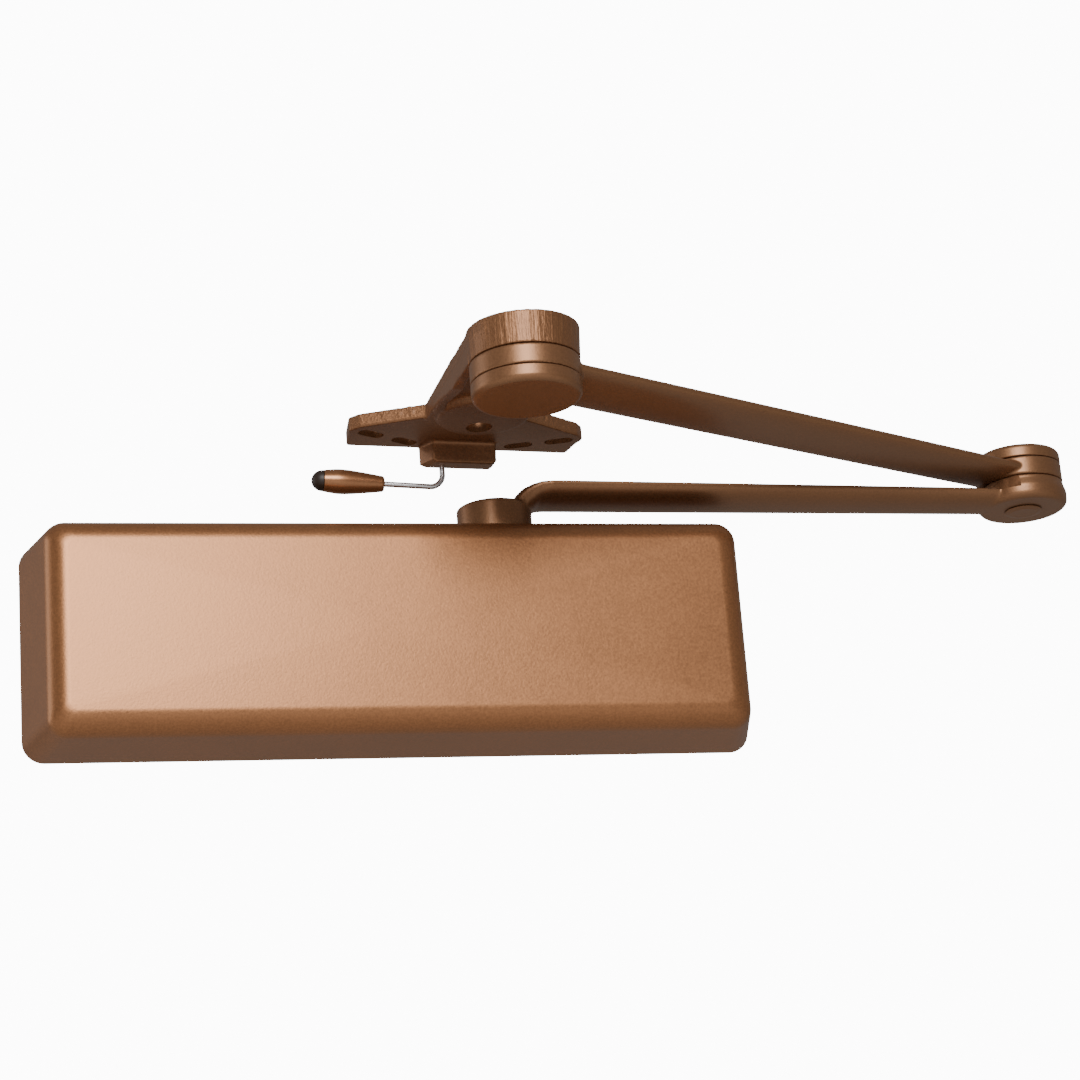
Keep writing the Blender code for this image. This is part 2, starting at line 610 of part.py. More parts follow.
def make_piston(axis):
    """Make the rack piston, with its seal ring and the check valve in its spring end."""
    along = (0.0, BORE_Y, 0.0)
    seal_at = PISTON_RIGHT - 0.004
    floor = PISTON_RADIUS - SEAL_SECTION
    half = SEAL_SECTION / 2 + GAP
    profile = [(0.0, PISTON_LEFT), (PISTON_RADIUS - 0.001, PISTON_LEFT), (PISTON_RADIUS, PISTON_LEFT + 0.001),
               (PISTON_RADIUS, seal_at - half), (floor, seal_at - half), (floor, seal_at + half),
               (PISTON_RADIUS, seal_at + half), (PISTON_RADIUS, PISTON_RIGHT), (0.0, PISTON_RIGHT)]
    piston = finish_object(lathe(profile, along, "X"), "rack_piston", STEEL, axis)
    cut_prism(piston, "piston_window", rack_outline(), -BORE_RADIUS - 0.005, BORE_RADIUS + 0.005)
    cut_cylinder(piston, "piston_valve_seat", along, CHECK_BALL_RADIUS + 0.0008, PISTON_LEFT - 0.002,
                 PISTON_LEFT + 0.0080, "X")
    cut_cylinder(piston, "piston_valve_way", along, 0.0015, PISTON_LEFT, WINDOW_LEFT + 0.004, "X")
    ring = tube_profile(floor + GAP, PISTON_RADIUS, seal_at - SEAL_SECTION / 2, seal_at + SEAL_SECTION / 2)
    finish_object(lathe(ring, along, "X"), "piston_seal_ring", RUBBER, axis)
    ball = [(CHECK_BALL_RADIUS * sin(a), PISTON_LEFT + 0.0050 - CHECK_BALL_RADIUS * cos(a))
            for a in (k * pi / 8 for k in range(9))]
    finish_object(lathe(ball, along, "X", 16), "check_ball", STEEL, axis)
    keeper = tube_profile(0.0013, CHECK_BALL_RADIUS + 0.0005, PISTON_LEFT + 0.0002, PISTON_LEFT + 0.0018)
    finish_object(lathe(keeper, along, "X", 16), "check_ball_keeper", ZINC, axis)


def make_spring():
    """Make the closing spring, coiled along the cylinder between its seat and the piston."""
    start = SEAT_X + SEAT_THICKNESS + SPRING_WIRE_RADIUS + GAP
    end = PISTON_LEFT - SPRING_WIRE_RADIUS - GAP
    steps = 12 * SPRING_TURNS
    sides = 5
    slope = atan2(end - start, 2 * pi * SPRING_COIL_RADIUS * SPRING_TURNS)
    bm = bmesh.new()
    rings = []
    for k in range(steps + 1):
        turn = 2 * pi * SPRING_TURNS * k / steps
        out = Vector((0.0, cos(turn), sin(turn)))
        across = Vector((1.0, 0.0, 0.0)) * cos(slope) - Vector((0.0, -sin(turn), cos(turn))) * sin(slope)
        centre = Vector((start + (end - start) * k / steps, BORE_Y, 0.0)) + SPRING_COIL_RADIUS * out
        rings.append([centre + SPRING_WIRE_RADIUS * (cos(a) * out + sin(a) * across)
                      for a in (2 * pi * j / sides for j in range(sides))])
    loft_into(bm, rings)
    finish_object(bm, "closing_spring", SPRING_STEEL, None)


def make_spring_adjuster(seat_axis, screw_axis):
    """Make the spring's seat, which slides, and the screw that drives it from outside."""
    along = (0.0, BORE_Y, 0.0)
    outer = BORE_RADIUS - GAP
    pilot = SPRING_COIL_RADIUS - SPRING_WIRE_RADIUS - 0.0008
    face = SEAT_X + SEAT_THICKNESS
    seat = [(SCREW_RADIUS + RUN, SEAT_X), (outer, SEAT_X), (outer, face), (pilot, face),
            (pilot - 0.001, face + 0.006), (SCREW_RADIUS + RUN, face + 0.006)]
    finish_object(lathe(seat, along, "X"), "spring_seat", STEEL, seat_axis)
    head = CASTING_LEFT - PLUG_HEAD_THICKNESS - GAP
    inner = CASTING_LEFT + PLUG_LENGTH + GAP
    screw = [(0.0, head - 0.006), (0.0078, head - 0.006), (0.0086, head - 0.005), (0.0086, head),
             (SCREW_RADIUS, head), (SCREW_RADIUS, inner), (0.0085, inner), (0.0085, inner + 0.003),
             (SCREW_RADIUS, inner + 0.003),
             (SCREW_RADIUS, SCREW_END_X - 0.001), (SCREW_RADIUS - 0.001, SCREW_END_X), (0.0, SCREW_END_X)]
    made = finish_object(lathe(screw, along, "X", 18), "spring_screw", STEEL, screw_axis)
    socket = [(BORE_Y + 0.0036 * cos(a), 0.0036 * sin(a)) for a in (k * pi / 3 for k in range(6))]
    boolean(made, cutter(prism(socket, head - 0.01, head - 0.002, "X"), "spring_screw_socket", screw_axis),
            "DIFFERENCE")


# ---------------------------------------------------------------- arms
def arm_section(foot, side, up, half_width, thickness):
    """List a forged section above its foot: rounded underneath, widest near its flat top."""
    points = []
    for k in range(16):
        turn = 2 * pi * (k + 0.5) / 16
        above = sin(turn) > 0
        across = half_width * abs(cos(turn)) ** (0.35 if above else 0.92)
        belly = thickness - ARM_CROWN
        rise = belly + ARM_CROWN * abs(sin(turn)) ** 0.7 if above else belly * (1 - abs(sin(turn)) ** 0.92)
        points.append(foot + side * (across if cos(turn) > 0 else -across) + up * rise)
    return points


def make_main_arm(axis):
    """Make the main arm: hub, cranked neck, oval bar that narrows to the elbow, and the flared lower eye."""
    along = (ELBOW - PIN).normalized()
    side = Vector((-along.y, along.x, 0.0))
    up = Vector((0.0, 0.0, 1.0))
    hub = [(0.0, HUB_LOW), (HUB_RADIUS - HUB_EDGE, HUB_LOW), (HUB_RADIUS, HUB_LOW + HUB_EDGE),
           (HUB_RADIUS, HUB_HIGH - HUB_EDGE), (HUB_RADIUS - HUB_EDGE, HUB_HIGH), (0.0, HUB_HIGH)]
    arm = finish_object(lathe(hub, PIN), "main_arm", BRONZE, axis)
    stations = []
    neck_top = HUB_HIGH - HUB_EDGE
    bar_top = ARM_LOW_HUB + ARM_THICKNESS_HUB
    for s, lift, crest, half in NECK:
        low = NECK_LOW + (ARM_LOW_HUB - NECK_LOW) * lift
        high = neck_top + (bar_top - neck_top) * crest
        stations.append((s, low, half, high - low))
    start = NECK[-1][0]
    taper_end = MAIN_ARM_LENGTH - EYE_RADIUS * 0.6
    for share in (0.3, 0.65, 1.0):
        stations.append((start + (taper_end - start) * share,
                         ARM_LOW_HUB + (ARM_LOW_ELBOW - ARM_LOW_HUB) * share,
                         ARM_HALF_WIDTH_HUB + (ARM_HALF_WIDTH_ELBOW - ARM_HALF_WIDTH_HUB) * share,
                         ARM_THICKNESS_HUB + (ARM_THICKNESS_ELBOW - ARM_THICKNESS_HUB) * share))
    bm = bmesh.new()
    loft_into(bm, [arm_section(PIN + along * s + up * low, side, up, half, thickness)
                   for s, low, half, thickness in stations])
    join(arm, bm, "main_arm_bar")
    low = ARM_LOW_ELBOW
    wide = EYE_RADIUS + EYE_FLARE
    eye = [(0.0, low), (wide - 0.0050, low), (wide - 0.0018, low + 0.0015), (wide - 0.0003, low + 0.0038),
           (wide, low + 0.0055), (EYE_RADIUS + 0.0004, EYE_TOP - 0.0025), (EYE_RADIUS, EYE_TOP),
           (0.0, EYE_TOP)]
    join(arm, lathe(eye, ELBOW), "main_arm_eye")
    half = SHAFT_SQUARE / 2 + GAP
    square = [(PIN.x + sx * half, PIN.y + sy * half) for sx, sy in ((-1, -1), (1, -1), (1, 1), (-1, 1))]
    cut_prism(arm, "main_arm_square", square, HUB_LOW - 0.005, HUB_HIGH + 0.005)
    cut_cylinder(arm, "main_arm_pin_hole", ELBOW, RIVET_RADIUS + GAP, low - 0.005, EYE_TOP + 0.005)


def make_arm_fixing(axis):
    """Make the washer and screw that hold the main arm on the pinion shaft."""
    washer = tube_profile(0.0036, 0.0066, HUB_HIGH + GAP, HUB_HIGH + 0.0018)
    finish_object(lathe(washer, PIN, "Z", 18), "arm_washer", ZINC, axis)
    seat = HUB_HIGH + 0.0018 + GAP
    screw = [(0.0, HUB_HIGH - 0.015), (0.0030, HUB_HIGH - 0.015), (0.0030, seat), (0.0056, seat),
             (0.0056, seat + 0.0009), (0.0047, seat + 0.0016), (0.0, seat + 0.0016)]
    made = finish_object(lathe(screw, PIN, "Z", 18), "arm_screw", ZINC, axis)
    socket = [(PIN.x + 0.0024 * cos(a), PIN.y + 0.0024 * sin(a)) for a in (k * pi / 3 for k in range(6))]
    boolean(made, cutter(prism(socket, seat + 0.0006, seat + 0.006), "arm_screw_socket", axis), "DIFFERENCE")


def make_elbow(axis):
    """Make the elbow's rivet and the cap that it holds over the forearm's eye."""
    low = ARM_LOW_ELBOW - GAP
    stop = ELBOW_CAP_HIGH - 0.003
    rivet = [(0.0, low - 0.0011), (RIVET_HEAD_RADIUS - 0.0020, low - 0.0011),
             (RIVET_HEAD_RADIUS, low - 0.0003), (RIVET_HEAD_RADIUS, low), (RIVET_RADIUS, low),
             (RIVET_RADIUS, stop), (0.0, stop)]
    finish_object(lathe(rivet, ELBOW), "elbow_rivet", BRONZE, axis)
    start = FOREARM_HIGH + GAP
    bore = RIVET_RADIUS + GAP
    cap = [(0.0, stop + GAP), (bore, stop + GAP), (bore, start), (EYE_RADIUS, start),
           (EYE_RADIUS, ELBOW_CAP_HIGH - 0.002), (EYE_RADIUS - 0.0008, ELBOW_CAP_HIGH - 0.0006),
           (EYE_RADIUS - 0.0022, ELBOW_CAP_HIGH), (0.0, ELBOW_CAP_HIGH)]
    finish_object(lathe(cap, ELBOW), "elbow_cap", BRONZE, axis)


def make_forearm(axis):
    """Make the forearm: an oval bar between the elbow's eye and the drum's wide ring, with both bushes."""
    along = (DRUM - ELBOW).normalized()
    side = Vector((-along.y, along.x, 0.0))
    up = Vector((0.0, 0.0, 1.0))
    ring = chamfered_profile(DRUM_RADIUS, FOREARM_LOW, FOREARM_HIGH, 0.0005)
    forearm = finish_object(lathe(ring, DRUM, "Z", 30), "forearm", BRONZE, axis)
    join(forearm, lathe(chamfered_profile(EYE_RADIUS, FOREARM_LOW, FOREARM_HIGH, 0.0005), ELBOW),
         "forearm_elbow_eye")
    bm = bmesh.new()
    rings = []
    for fraction in (0.035, 0.08, 0.2, 0.5, 0.8, 0.94):
        widening = (FOREARM_HALF_WIDTH_DRUM - FOREARM_HALF_WIDTH_ELBOW) * fraction ** 0.7
        half = FOREARM_HALF_WIDTH_ELBOW + widening
        centre = ELBOW + along * FOREARM_LENGTH * fraction + up * (FOREARM_LOW + FOREARM_THICKNESS / 2)
        rings.append([centre + side * half * cos(a) + up * FOREARM_THICKNESS / 2 * sin(a)
                      for a in (2 * pi * k / 16 for k in range(16))])
    loft_into(bm, rings)
    join(forearm, bm, "forearm_bar")
    bush_wall = 0.0018
    for name, place, pin in (("elbow_bush", ELBOW, RIVET_RADIUS), ("shoe_bush", DRUM, STUD_RADIUS)):
        inner = pin + RUN
        outer = inner + bush_wall
        cut_cylinder(forearm, f"forearm_{name}_hole", place, outer + GAP, FOREARM_LOW - 0.005,
                     FOREARM_HIGH + 0.005)
        bush = tube_profile(inner, outer, FOREARM_LOW + GAP, FOREARM_HIGH - GAP)
        finish_object(lathe(bush, place), name, ("oiled_bronze", (0.45, 0.3, 0.12), 0.4, 0.9), axis)


# ---------------------------------------------------------------- shoe
def shoe_place(u, v, z=0.0):
    """Turn a place in the shoe, u sideways and v from the drum towards the door, into a world place."""
    x = DRUM.x + u * cos(SHOE_YAW) - v * sin(SHOE_YAW)
    y = DRUM.y + u * sin(SHOE_YAW) + v * cos(SHOE_YAW)
    return Vector((x, y, z))


def shoe_outline(points):
    """Turn an outline in the shoe into world places."""
    return [tuple(shoe_place(u, v).xy) for u, v in points]


def plate_outline():
    """List the fixing plate: a straight back and two swept wings."""
    left, right = PLATE_CENTRE - PLATE_HALF_LENGTH, PLATE_CENTRE + PLATE_HALF_LENGTH
    root_left, root_right = PLATE_CENTRE - PLATE_ROOT_HALF, PLATE_CENTRE + PLATE_ROOT_HALF
    return [(root_left, PLATE_ROOT_FRONT), (root_right, PLATE_ROOT_FRONT),
            (right - 0.004, PLATE_TIP_FRONT - 0.004), (right, PLATE_TIP_FRONT + 0.001),
            (right - 0.003, PLATE_BACK), (left + 0.003, PLATE_BACK), (left, PLATE_TIP_FRONT + 0.001),
            (left + 0.004, PLATE_TIP_FRONT - 0.004)]


def neck_rib(side):
    """List one side rib's rings, deep at the drum and run out at the plate."""
    rings = []
    for v, half, depth in ((0.004, DRUM_RADIUS, 1.0), (0.030, 0.0232, 0.95), (0.060, 0.0218, 0.62),
                           (PLATE_ROOT_FRONT + 0.004, NECK_HALF_PLATE, 0.25)):
        low = SHOE_TOP - 0.001 - (SHOE_TOP - 0.001 - DRUM_LOW) * max(depth, 0.45)
        outer, inner = side * half, side * (half - NECK_RIB)
        rings.append([shoe_place(outer, v, SHOE_TOP - 0.0005), shoe_place(inner, v, SHOE_TOP - 0.0005),
                      shoe_place(inner, v, low), shoe_place(outer, v, low)])
    return rings


def slot_outline(u, v, half_run, turn):
    """List a slot's outline about its middle, run along a direction in the shoe."""
    ends = []
    for sign in (1, -1):
        centre = (u + sign * half_run * cos(turn), v + sign * half_run * sin(turn))
        start = turn - pi / 2 if sign > 0 else turn + pi / 2
        ends += arc(centre, SLOT_RADIUS, start, start + pi, 6)
    return ends


def make_shoe(axis):
    """Make the shoe casting: drum, ribbed neck, winged plate, ring round the neck's root and lip."""
    top = SHOE_TOP
    drum = [(0.0, DRUM_LOW), (DRUM_RADIUS - 0.0003, DRUM_LOW), (DRUM_RADIUS, DRUM_LOW + 0.0003),
            (DRUM_RADIUS + DRUM_FLARE, top - 0.0006), (DRUM_RADIUS + DRUM_FLARE - 0.0006, top), (0.0, top)]
    shoe = finish_object(lathe(drum, DRUM, "Z", 30), "shoe_casting", BRONZE, axis)
    web = [(-DRUM_RADIUS + 0.0004, 0.0), (DRUM_RADIUS - 0.0004, 0.0),
           (NECK_HALF_PLATE, PLATE_ROOT_FRONT + 0.003), (-NECK_HALF_PLATE, PLATE_ROOT_FRONT + 0.003)]
    join(shoe, prism(shoe_outline(web), PLATE_LOW + 0.0004, top), "shoe_neck_web")
    for name, side in (("left", -1), ("right", 1)):
        bm = bmesh.new()
        loft_into(bm, neck_rib(side))
        join(shoe, bm, f"shoe_{name}_rib")
    join(shoe, prism(shoe_outline(plate_outline()), PLATE_LOW, top), "shoe_plate")
    ring = [(0.0, PLATE_LOW - RING_DROP), (RING_RADIUS - 0.003, PLATE_LOW - RING_DROP),
            (RING_RADIUS, PLATE_LOW + 0.001), (RING_RADIUS - 0.002, top - 0.001), (0.0, top - 0.001)]
    join(shoe, lathe(ring, shoe_place(PLATE_CENTRE, RING_CENTRE)), "shoe_ring")
    bm = bmesh.new()
    rings = []
    for u, splay in ((BLOCK_CENTRE - BLOCK_HALF, BLOCK_SPLAY), (BLOCK_CENTRE + BLOCK_HALF, 0.0)):
        section = [(BLOCK_FRONT, PLATE_LOW + 0.001), (BLOCK_FRONT + 0.0035, BLOCK_LOW + 0.0012),
                   (BLOCK_FRONT + 0.005, BLOCK_LOW), (PLATE_BACK - 0.0012, BLOCK_LOW),
                   (PLATE_BACK - 0.0004, BLOCK_LOW + 0.0012), (PLATE_BACK - 0.0004, PLATE_LOW + 0.001)]
        slope = splay / (PLATE_BACK - BLOCK_FRONT)
        rings.append([shoe_place(u - slope * (v - BLOCK_FRONT), v, z) for v, z in section])
    loft_into(bm, rings)
    join(shoe, bm, "shoe_lip")
    pocket_top = top - 0.004
    cut_cylinder(shoe, "shoe_drum_pocket", DRUM, DRUM_RADIUS - 0.006, DRUM_LOW - 0.005, pocket_top)
    cut_cylinder(shoe, "shoe_stud_hole", DRUM, STUD_RADIUS + GAP, pocket_top - 0.005, top + 0.005)
    cut_cylinder(shoe, "shoe_centre_hole", shoe_place(HOLE_SIDE, HOLE_DISTANCE), HOLE_RADIUS, PLATE_LOW - 0.01,
                 top + 0.005)
    for name, side in (("left", -1), ("right", 1)):
        for place, u, v in (("inner", 0.0275, 0.1165), ("outer", 0.0450, 0.1090)):
            outline = shoe_outline(slot_outline(PLATE_CENTRE + side * u, v, 0.0035, side * radians(-25)))
            cut_prism(shoe, f"shoe_{name}_{place}_slot", outline, PLATE_LOW - 0.01, top + 0.005)
    pivot = shoe_place(HANDLE_PIVOT, (BLOCK_FRONT + PLATE_BACK) / 2 + 0.0015)
    cut_cylinder(shoe, "shoe_handle_hole", pivot, HANDLE_ROD_RADIUS + RUN, BLOCK_LOW - 0.005, top - 0.003)


def make_shoe_pivot(axis):
    """Make the shoe's stud, the cushion and washer round it, and the cap under the forearm's ring."""
    pocket_top = SHOE_TOP - 0.004
    pocket_radius = DRUM_RADIUS - 0.006
    start = FOREARM_LOW - GAP
    cap_bore_top = start - 0.002
    stud = [(0.0, cap_bore_top - 0.002), (STUD_RADIUS, cap_bore_top - 0.002),
            (STUD_RADIUS, SHOE_TOP - 0.0008), (STUD_RADIUS - 0.0008, SHOE_TOP), (0.0, SHOE_TOP)]
    finish_object(lathe(stud, DRUM), "shoe_stud", STEEL, axis)
    cushion = tube_profile(STUD_RADIUS + 0.0005, pocket_radius - GAP, DRUM_LOW + 0.0026, pocket_top - GAP)
    finish_object(lathe(cushion, DRUM), "stop_cushion", RUBBER, axis)
    washer = tube_profile(STUD_RADIUS + 0.0004, pocket_radius - GAP, DRUM_LOW + 0.0004, DRUM_LOW + 0.0022)
    finish_object(lathe(washer, DRUM), "cushion_washer", STEEL, axis)
    bore = STUD_RADIUS + GAP
    edge = 0.0026
    floor = cap_bore_top - 0.002 - GAP
    cap = [(0.0, DRUM_CAP_LOW), (DRUM_RADIUS - edge, DRUM_CAP_LOW)]
    cap += arc((DRUM_RADIUS - edge, DRUM_CAP_LOW + edge), edge, -pi / 3, 0.0, 3)
    cap += [(DRUM_RADIUS, start - 0.0004), (DRUM_RADIUS - 0.0004, start), (bore, start), (bore, floor),
            (0.0, floor)]
    finish_object(lathe(cap, DRUM, "Z", 30), "drum_cap", BRONZE, axis)


# ---------------------------------------------------------------- hold-open handle
def make_handle(axis, pivot):
    """Make the handle: a bent rod in the shoe's lip, its grip and the grip's dark end."""
    up = Vector((0.0, 0.0, 1.0))
    away = Vector((-cos(HANDLE_TILT), 0.0, sin(HANDLE_TILT)))
    across = Vector((0.0, -1.0, 0.0))
    sweep = pi / 2 + HANDLE_TILT
    bend = pivot + up * (HANDLE_Z + HANDLE_BEND) - Vector((HANDLE_BEND, 0.0, 0.0))
    path = [(pivot + up * (SHOE_TOP - 0.0045), -up), (pivot + up * (BLOCK_LOW - 0.0004), -up)]
    for k in range(7):
        turn = sweep * k / 6
        out = Vector((cos(turn), 0.0, -sin(turn)))
        path.append((bend + HANDLE_BEND * out, Vector((-sin(turn), 0.0, -cos(turn)))))
    corner = path[-1][0]
    path.append((corner + away * (GRIP_START - HANDLE_BEND + 0.006), away))
    bm = bmesh.new()
    rings = []
    for place, forward in path:
        out = across.cross(forward).normalized()
        rings.append([place + HANDLE_ROD_RADIUS * (out * cos(a) + across * sin(a))
                      for a in (2 * pi * k / 10 for k in range(10))])
    loft_into(bm, rings)
    finish_object(bm, "handle_rod", ZINC, axis)
    start = corner + away * (GRIP_START - HANDLE_BEND)
    body = GRIP_LENGTH - GRIP_TIP_LENGTH
    bore = HANDLE_ROD_RADIUS + GAP
    grip = [(bore, 0.0), (GRIP_SMALL_RADIUS - 0.0005, 0.0), (GRIP_SMALL_RADIUS, 0.0006),
            (GRIP_SMALL_RADIUS + 0.0011, 0.0080), (GRIP_BULGE_RADIUS - 0.0003, 0.0160),
            (GRIP_BULGE_RADIUS, 0.0205), (GRIP_BULGE_RADIUS - 0.0003, 0.0240),
            (GRIP_BULGE_RADIUS - 0.0009, body), (0.0, body), (0.0, 0.0065), (bore, 0.0065)]
    wide = GRIP_BULGE_RADIUS - 0.0010
    dome = [(wide * cos(a), body + GAP + GRIP_TIP_LENGTH * sin(a)) for a in (k * pi / 12 for k in range(6))]
    tip = [(0.0, body + GAP), *dome, (0.0, body + GAP + GRIP_TIP_LENGTH)]
    turn = Matrix.Translation(start) @ up.rotation_difference(away).to_matrix().to_4x4()
    for name, profile, finish in (("handle_grip", grip, BRONZE), ("handle_tip", tip, TIP)):
        bm = lathe(profile, (0.0, 0.0, 0.0), "Z", 20)
        bmesh.ops.transform(bm, matrix=turn, verts=bm.verts)
        finish_object(bm, name, finish, axis)


# ---------------------------------------------------------------- the whole closer
def main():
    """Build every piece under the axis that it turns or slides on."""
    clear_scene()
    make_cover()
    make_casting()
    make_end_plug("spring_end_plug", CASTING_LEFT, -1, SCREW_RADIUS + RUN)
    make_end_plug("rack_end_plug", CASTING_RIGHT, 1, 0.0)
    for side, sign in (("upper", 1), ("lower", -1)):
        make_bearing_stack(side, sign)
        make_clip(side, sign)
    for name, x in VALVE_XS.items():
        make_valve(name, x)
    make_spring()
    arm_axis = empty("main_arm_axis", PIN)
    make_pinion(arm_axis)
    make_main_arm(arm_axis)
    make_arm_fixing(arm_axis)
    make_elbow(arm_axis)
    make_piston(empty("rack_axis", (PISTON_LEFT, BORE_Y, 0.0)))
    make_spring_adjuster(empty("seat_axis", (SEAT_X, BORE_Y, 0.0)),
                         empty("screw_axis", (CASTING_LEFT, BORE_Y, 0.0)))
    elbow_axis = empty("elbow_axis", ELBOW, arm_axis)
    make_forearm(elbow_axis)
    drum_axis = empty("drum_axis", DRUM, elbow_axis)
    make_shoe(drum_axis)
    make_shoe_pivot(drum_axis)
    pivot = shoe_place(HANDLE_PIVOT, (BLOCK_FRONT + PLATE_BACK) / 2 + 0.0015)
    make_handle(empty("handle_axis", pivot, drum_axis), pivot)


main()
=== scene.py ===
"""The looks of a surface door closer: fine meshes, paint and metal finishes, studio light and camera.

Metres, +Z up. +X runs along the closer, +Y into the door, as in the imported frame.
"""
import json
import logging
from collections.abc import Callable, Iterable
from dataclasses import dataclass, field
from enum import Enum
from math import atan2, cos, pi, radians, sin

import bmesh
import bpy
import numpy as np
from mathutils import Matrix, Vector


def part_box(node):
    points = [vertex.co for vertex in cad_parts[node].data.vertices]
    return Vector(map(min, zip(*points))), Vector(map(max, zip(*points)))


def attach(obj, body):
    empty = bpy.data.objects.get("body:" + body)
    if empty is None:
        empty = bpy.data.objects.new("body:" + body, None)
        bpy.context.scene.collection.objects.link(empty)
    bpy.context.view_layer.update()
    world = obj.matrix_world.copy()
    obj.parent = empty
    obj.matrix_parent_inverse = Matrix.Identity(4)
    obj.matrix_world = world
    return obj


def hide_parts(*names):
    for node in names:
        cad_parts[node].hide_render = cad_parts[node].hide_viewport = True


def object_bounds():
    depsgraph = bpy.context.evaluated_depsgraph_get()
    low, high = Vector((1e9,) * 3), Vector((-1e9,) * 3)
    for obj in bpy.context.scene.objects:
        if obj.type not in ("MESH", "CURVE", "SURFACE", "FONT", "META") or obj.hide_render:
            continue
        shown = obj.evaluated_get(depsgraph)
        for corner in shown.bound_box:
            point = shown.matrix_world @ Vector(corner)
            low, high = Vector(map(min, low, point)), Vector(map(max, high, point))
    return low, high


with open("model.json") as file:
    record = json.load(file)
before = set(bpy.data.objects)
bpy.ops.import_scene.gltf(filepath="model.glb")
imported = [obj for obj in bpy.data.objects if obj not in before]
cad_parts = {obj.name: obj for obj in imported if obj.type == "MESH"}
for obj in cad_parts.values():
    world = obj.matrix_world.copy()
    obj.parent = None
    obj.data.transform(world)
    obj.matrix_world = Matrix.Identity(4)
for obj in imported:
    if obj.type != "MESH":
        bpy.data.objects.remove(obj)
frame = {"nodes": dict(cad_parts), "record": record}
CAD_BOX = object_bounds()

logging.basicConfig(level=logging.INFO, format="%(message)s")
LOG = logging.getLogger("closer")

MM = 0.001

SHOE_HEADING = radians(4.5)

Array = np.ndarray
Field = Callable[[Array], Array]
Pair = tuple[float, float]
Triple = tuple[float, float, float]


# ---------------------------------------------------------------- shader maths
class Value:
    """A shader socket that can stand in a sum: each operator adds one Math node."""

    def __init__(self, graph: "Graph", socket: bpy.types.NodeSocket) -> None:
        """Keep the graph that the socket belongs to."""
        self.graph = graph
        self.socket = socket

    def _math(self, operation: str, *others: "Value | float") -> "Value":
        """Add a Math node.

        Args:
            operation: the Math node's operation.
            others: what follows this socket in the sum.

        Returns:
            The node's result.
        """
        values = dict(enumerate((self, *others)))
        return self.graph.node("ShaderNodeMath", {"operation": operation}, values)

    def __add__(self, other: "Value | float") -> "Value":
        """Add."""
        return self._math("ADD", other)

    def __mul__(self, other: "Value | float") -> "Value":
        """Multiply."""
        return self._math("MULTIPLY", other)

    def __sub__(self, other: "Value | float") -> "Value":
        """Subtract."""
        return self._math("SUBTRACT", other)

    def __rsub__(self, other: float) -> "Value":
        """Subtract this from a number."""
        return self * -1.0 + other

    def __pow__(self, other: float) -> "Value":
        """Raise to a power."""
        return self._math("POWER", other)

    __radd__ = __add__
    __rmul__ = __mul__

    def between(self, low: float, high: float) -> "Value":
        """Turn low to high into 0 to 1, clamped, with soft ends."""
        settings = {"interpolation_type": "SMOOTHSTEP"}
        sockets = {"Value": self, "From Min": low, "From Max": high}
        return self.graph.node("ShaderNodeMapRange", settings, sockets)


class Graph:
    """The node tree of one material, with its Principled shader."""

    def __init__(self, name: str) -> None:
        """Start a material of that name."""
        self.material = bpy.data.materials.new(name)
        self.material.use_nodes = True
        self.tree = self.material.node_tree
        self.shader = self.tree.nodes["Principled BSDF"]

    def node(self, kind: str, settings: dict | None = None, sockets: dict | None = None,
             output: str | int = 0) -> Value:
        """Add any node.

        Args:
            kind: the node's type.
            settings: properties that are set before its sockets.
            sockets: a value or a link for each input, by name or place.
            output: the output to give back.

        Returns:
            The chosen output.
        """
        made = self.tree.nodes.new(kind)
        for key, value in (settings or {}).items():
            setattr(made, key, value)
        for key, value in (sockets or {}).items():
            self.feed(made.inputs[key], value)
        return Value(self, made.outputs[output])

    def feed(self, socket: bpy.types.NodeSocket, value: "Value | float | tuple") -> None:
        """Link a socket, or set its own value."""
        if isinstance(value, Value):
            self.tree.links.new(value.socket, socket)
        else:
            socket.default_value = value

    def place(self, stretch: Triple = (1.0, 1.0, 1.0)) -> Value:
        """Give the point on the piece, stretched along each axis."""
        point = self.node("ShaderNodeTexCoord", None, None, "Object")
        return self.node("ShaderNodeMapping", None, {"Vector": point, "Scale": stretch})

    def noise(self, grain: float, detail: float = 2.0, stretch: Triple = (1.0, 1.0, 1.0)) -> Value:
        """Give noise of about 0 to 1 whose grains are that many metres across."""
        sockets = {"Vector": self.place(stretch), "Scale": 1.0 / grain, "Detail": detail, "Roughness": 0.6}
        return self.node("ShaderNodeTexNoise", None, sockets)

    def mask(self, name: str) -> Value:
        """Read a number that the mesh keeps at each point."""
        return self.node("ShaderNodeAttribute", {"attribute_name": name}, None, "Fac")

    def mix(self, share: Value, first: "Value | tuple", second: "Value | tuple") -> Value:
        """Blend two colours."""
        sockets = {0: share, 6: first, 7: second}
        return self.node("ShaderNodeMix", {"data_type": "RGBA"}, sockets, 2)

    def bump(self, height: Value, depth: float, below: Value | None = None) -> Value:
        """Raise a relief of that many metres, over another one if there is one."""
        sockets = {"Height": height, "Distance": depth, "Strength": 1.0}
        if below:
            sockets["Normal"] = below
        return self.node("ShaderNodeBump", None, sockets)

    def edges(self) -> Value:
        """Give 1 on outer edges and 0 elsewhere, from the mesh's own curvature."""
        bend = self.node("ShaderNodeNewGeometry", None, None, "Pointiness")
        return bend.between(0.52, 0.60)

    def dress(self, **sockets: "Value | float | tuple") -> bpy.types.Material:
        """Feed the Principled shader, with underscores for spaces, and give the material."""
        for key, value in sockets.items():
            self.feed(self.shader.inputs[key.replace("_", " ")], value)
        return self.material


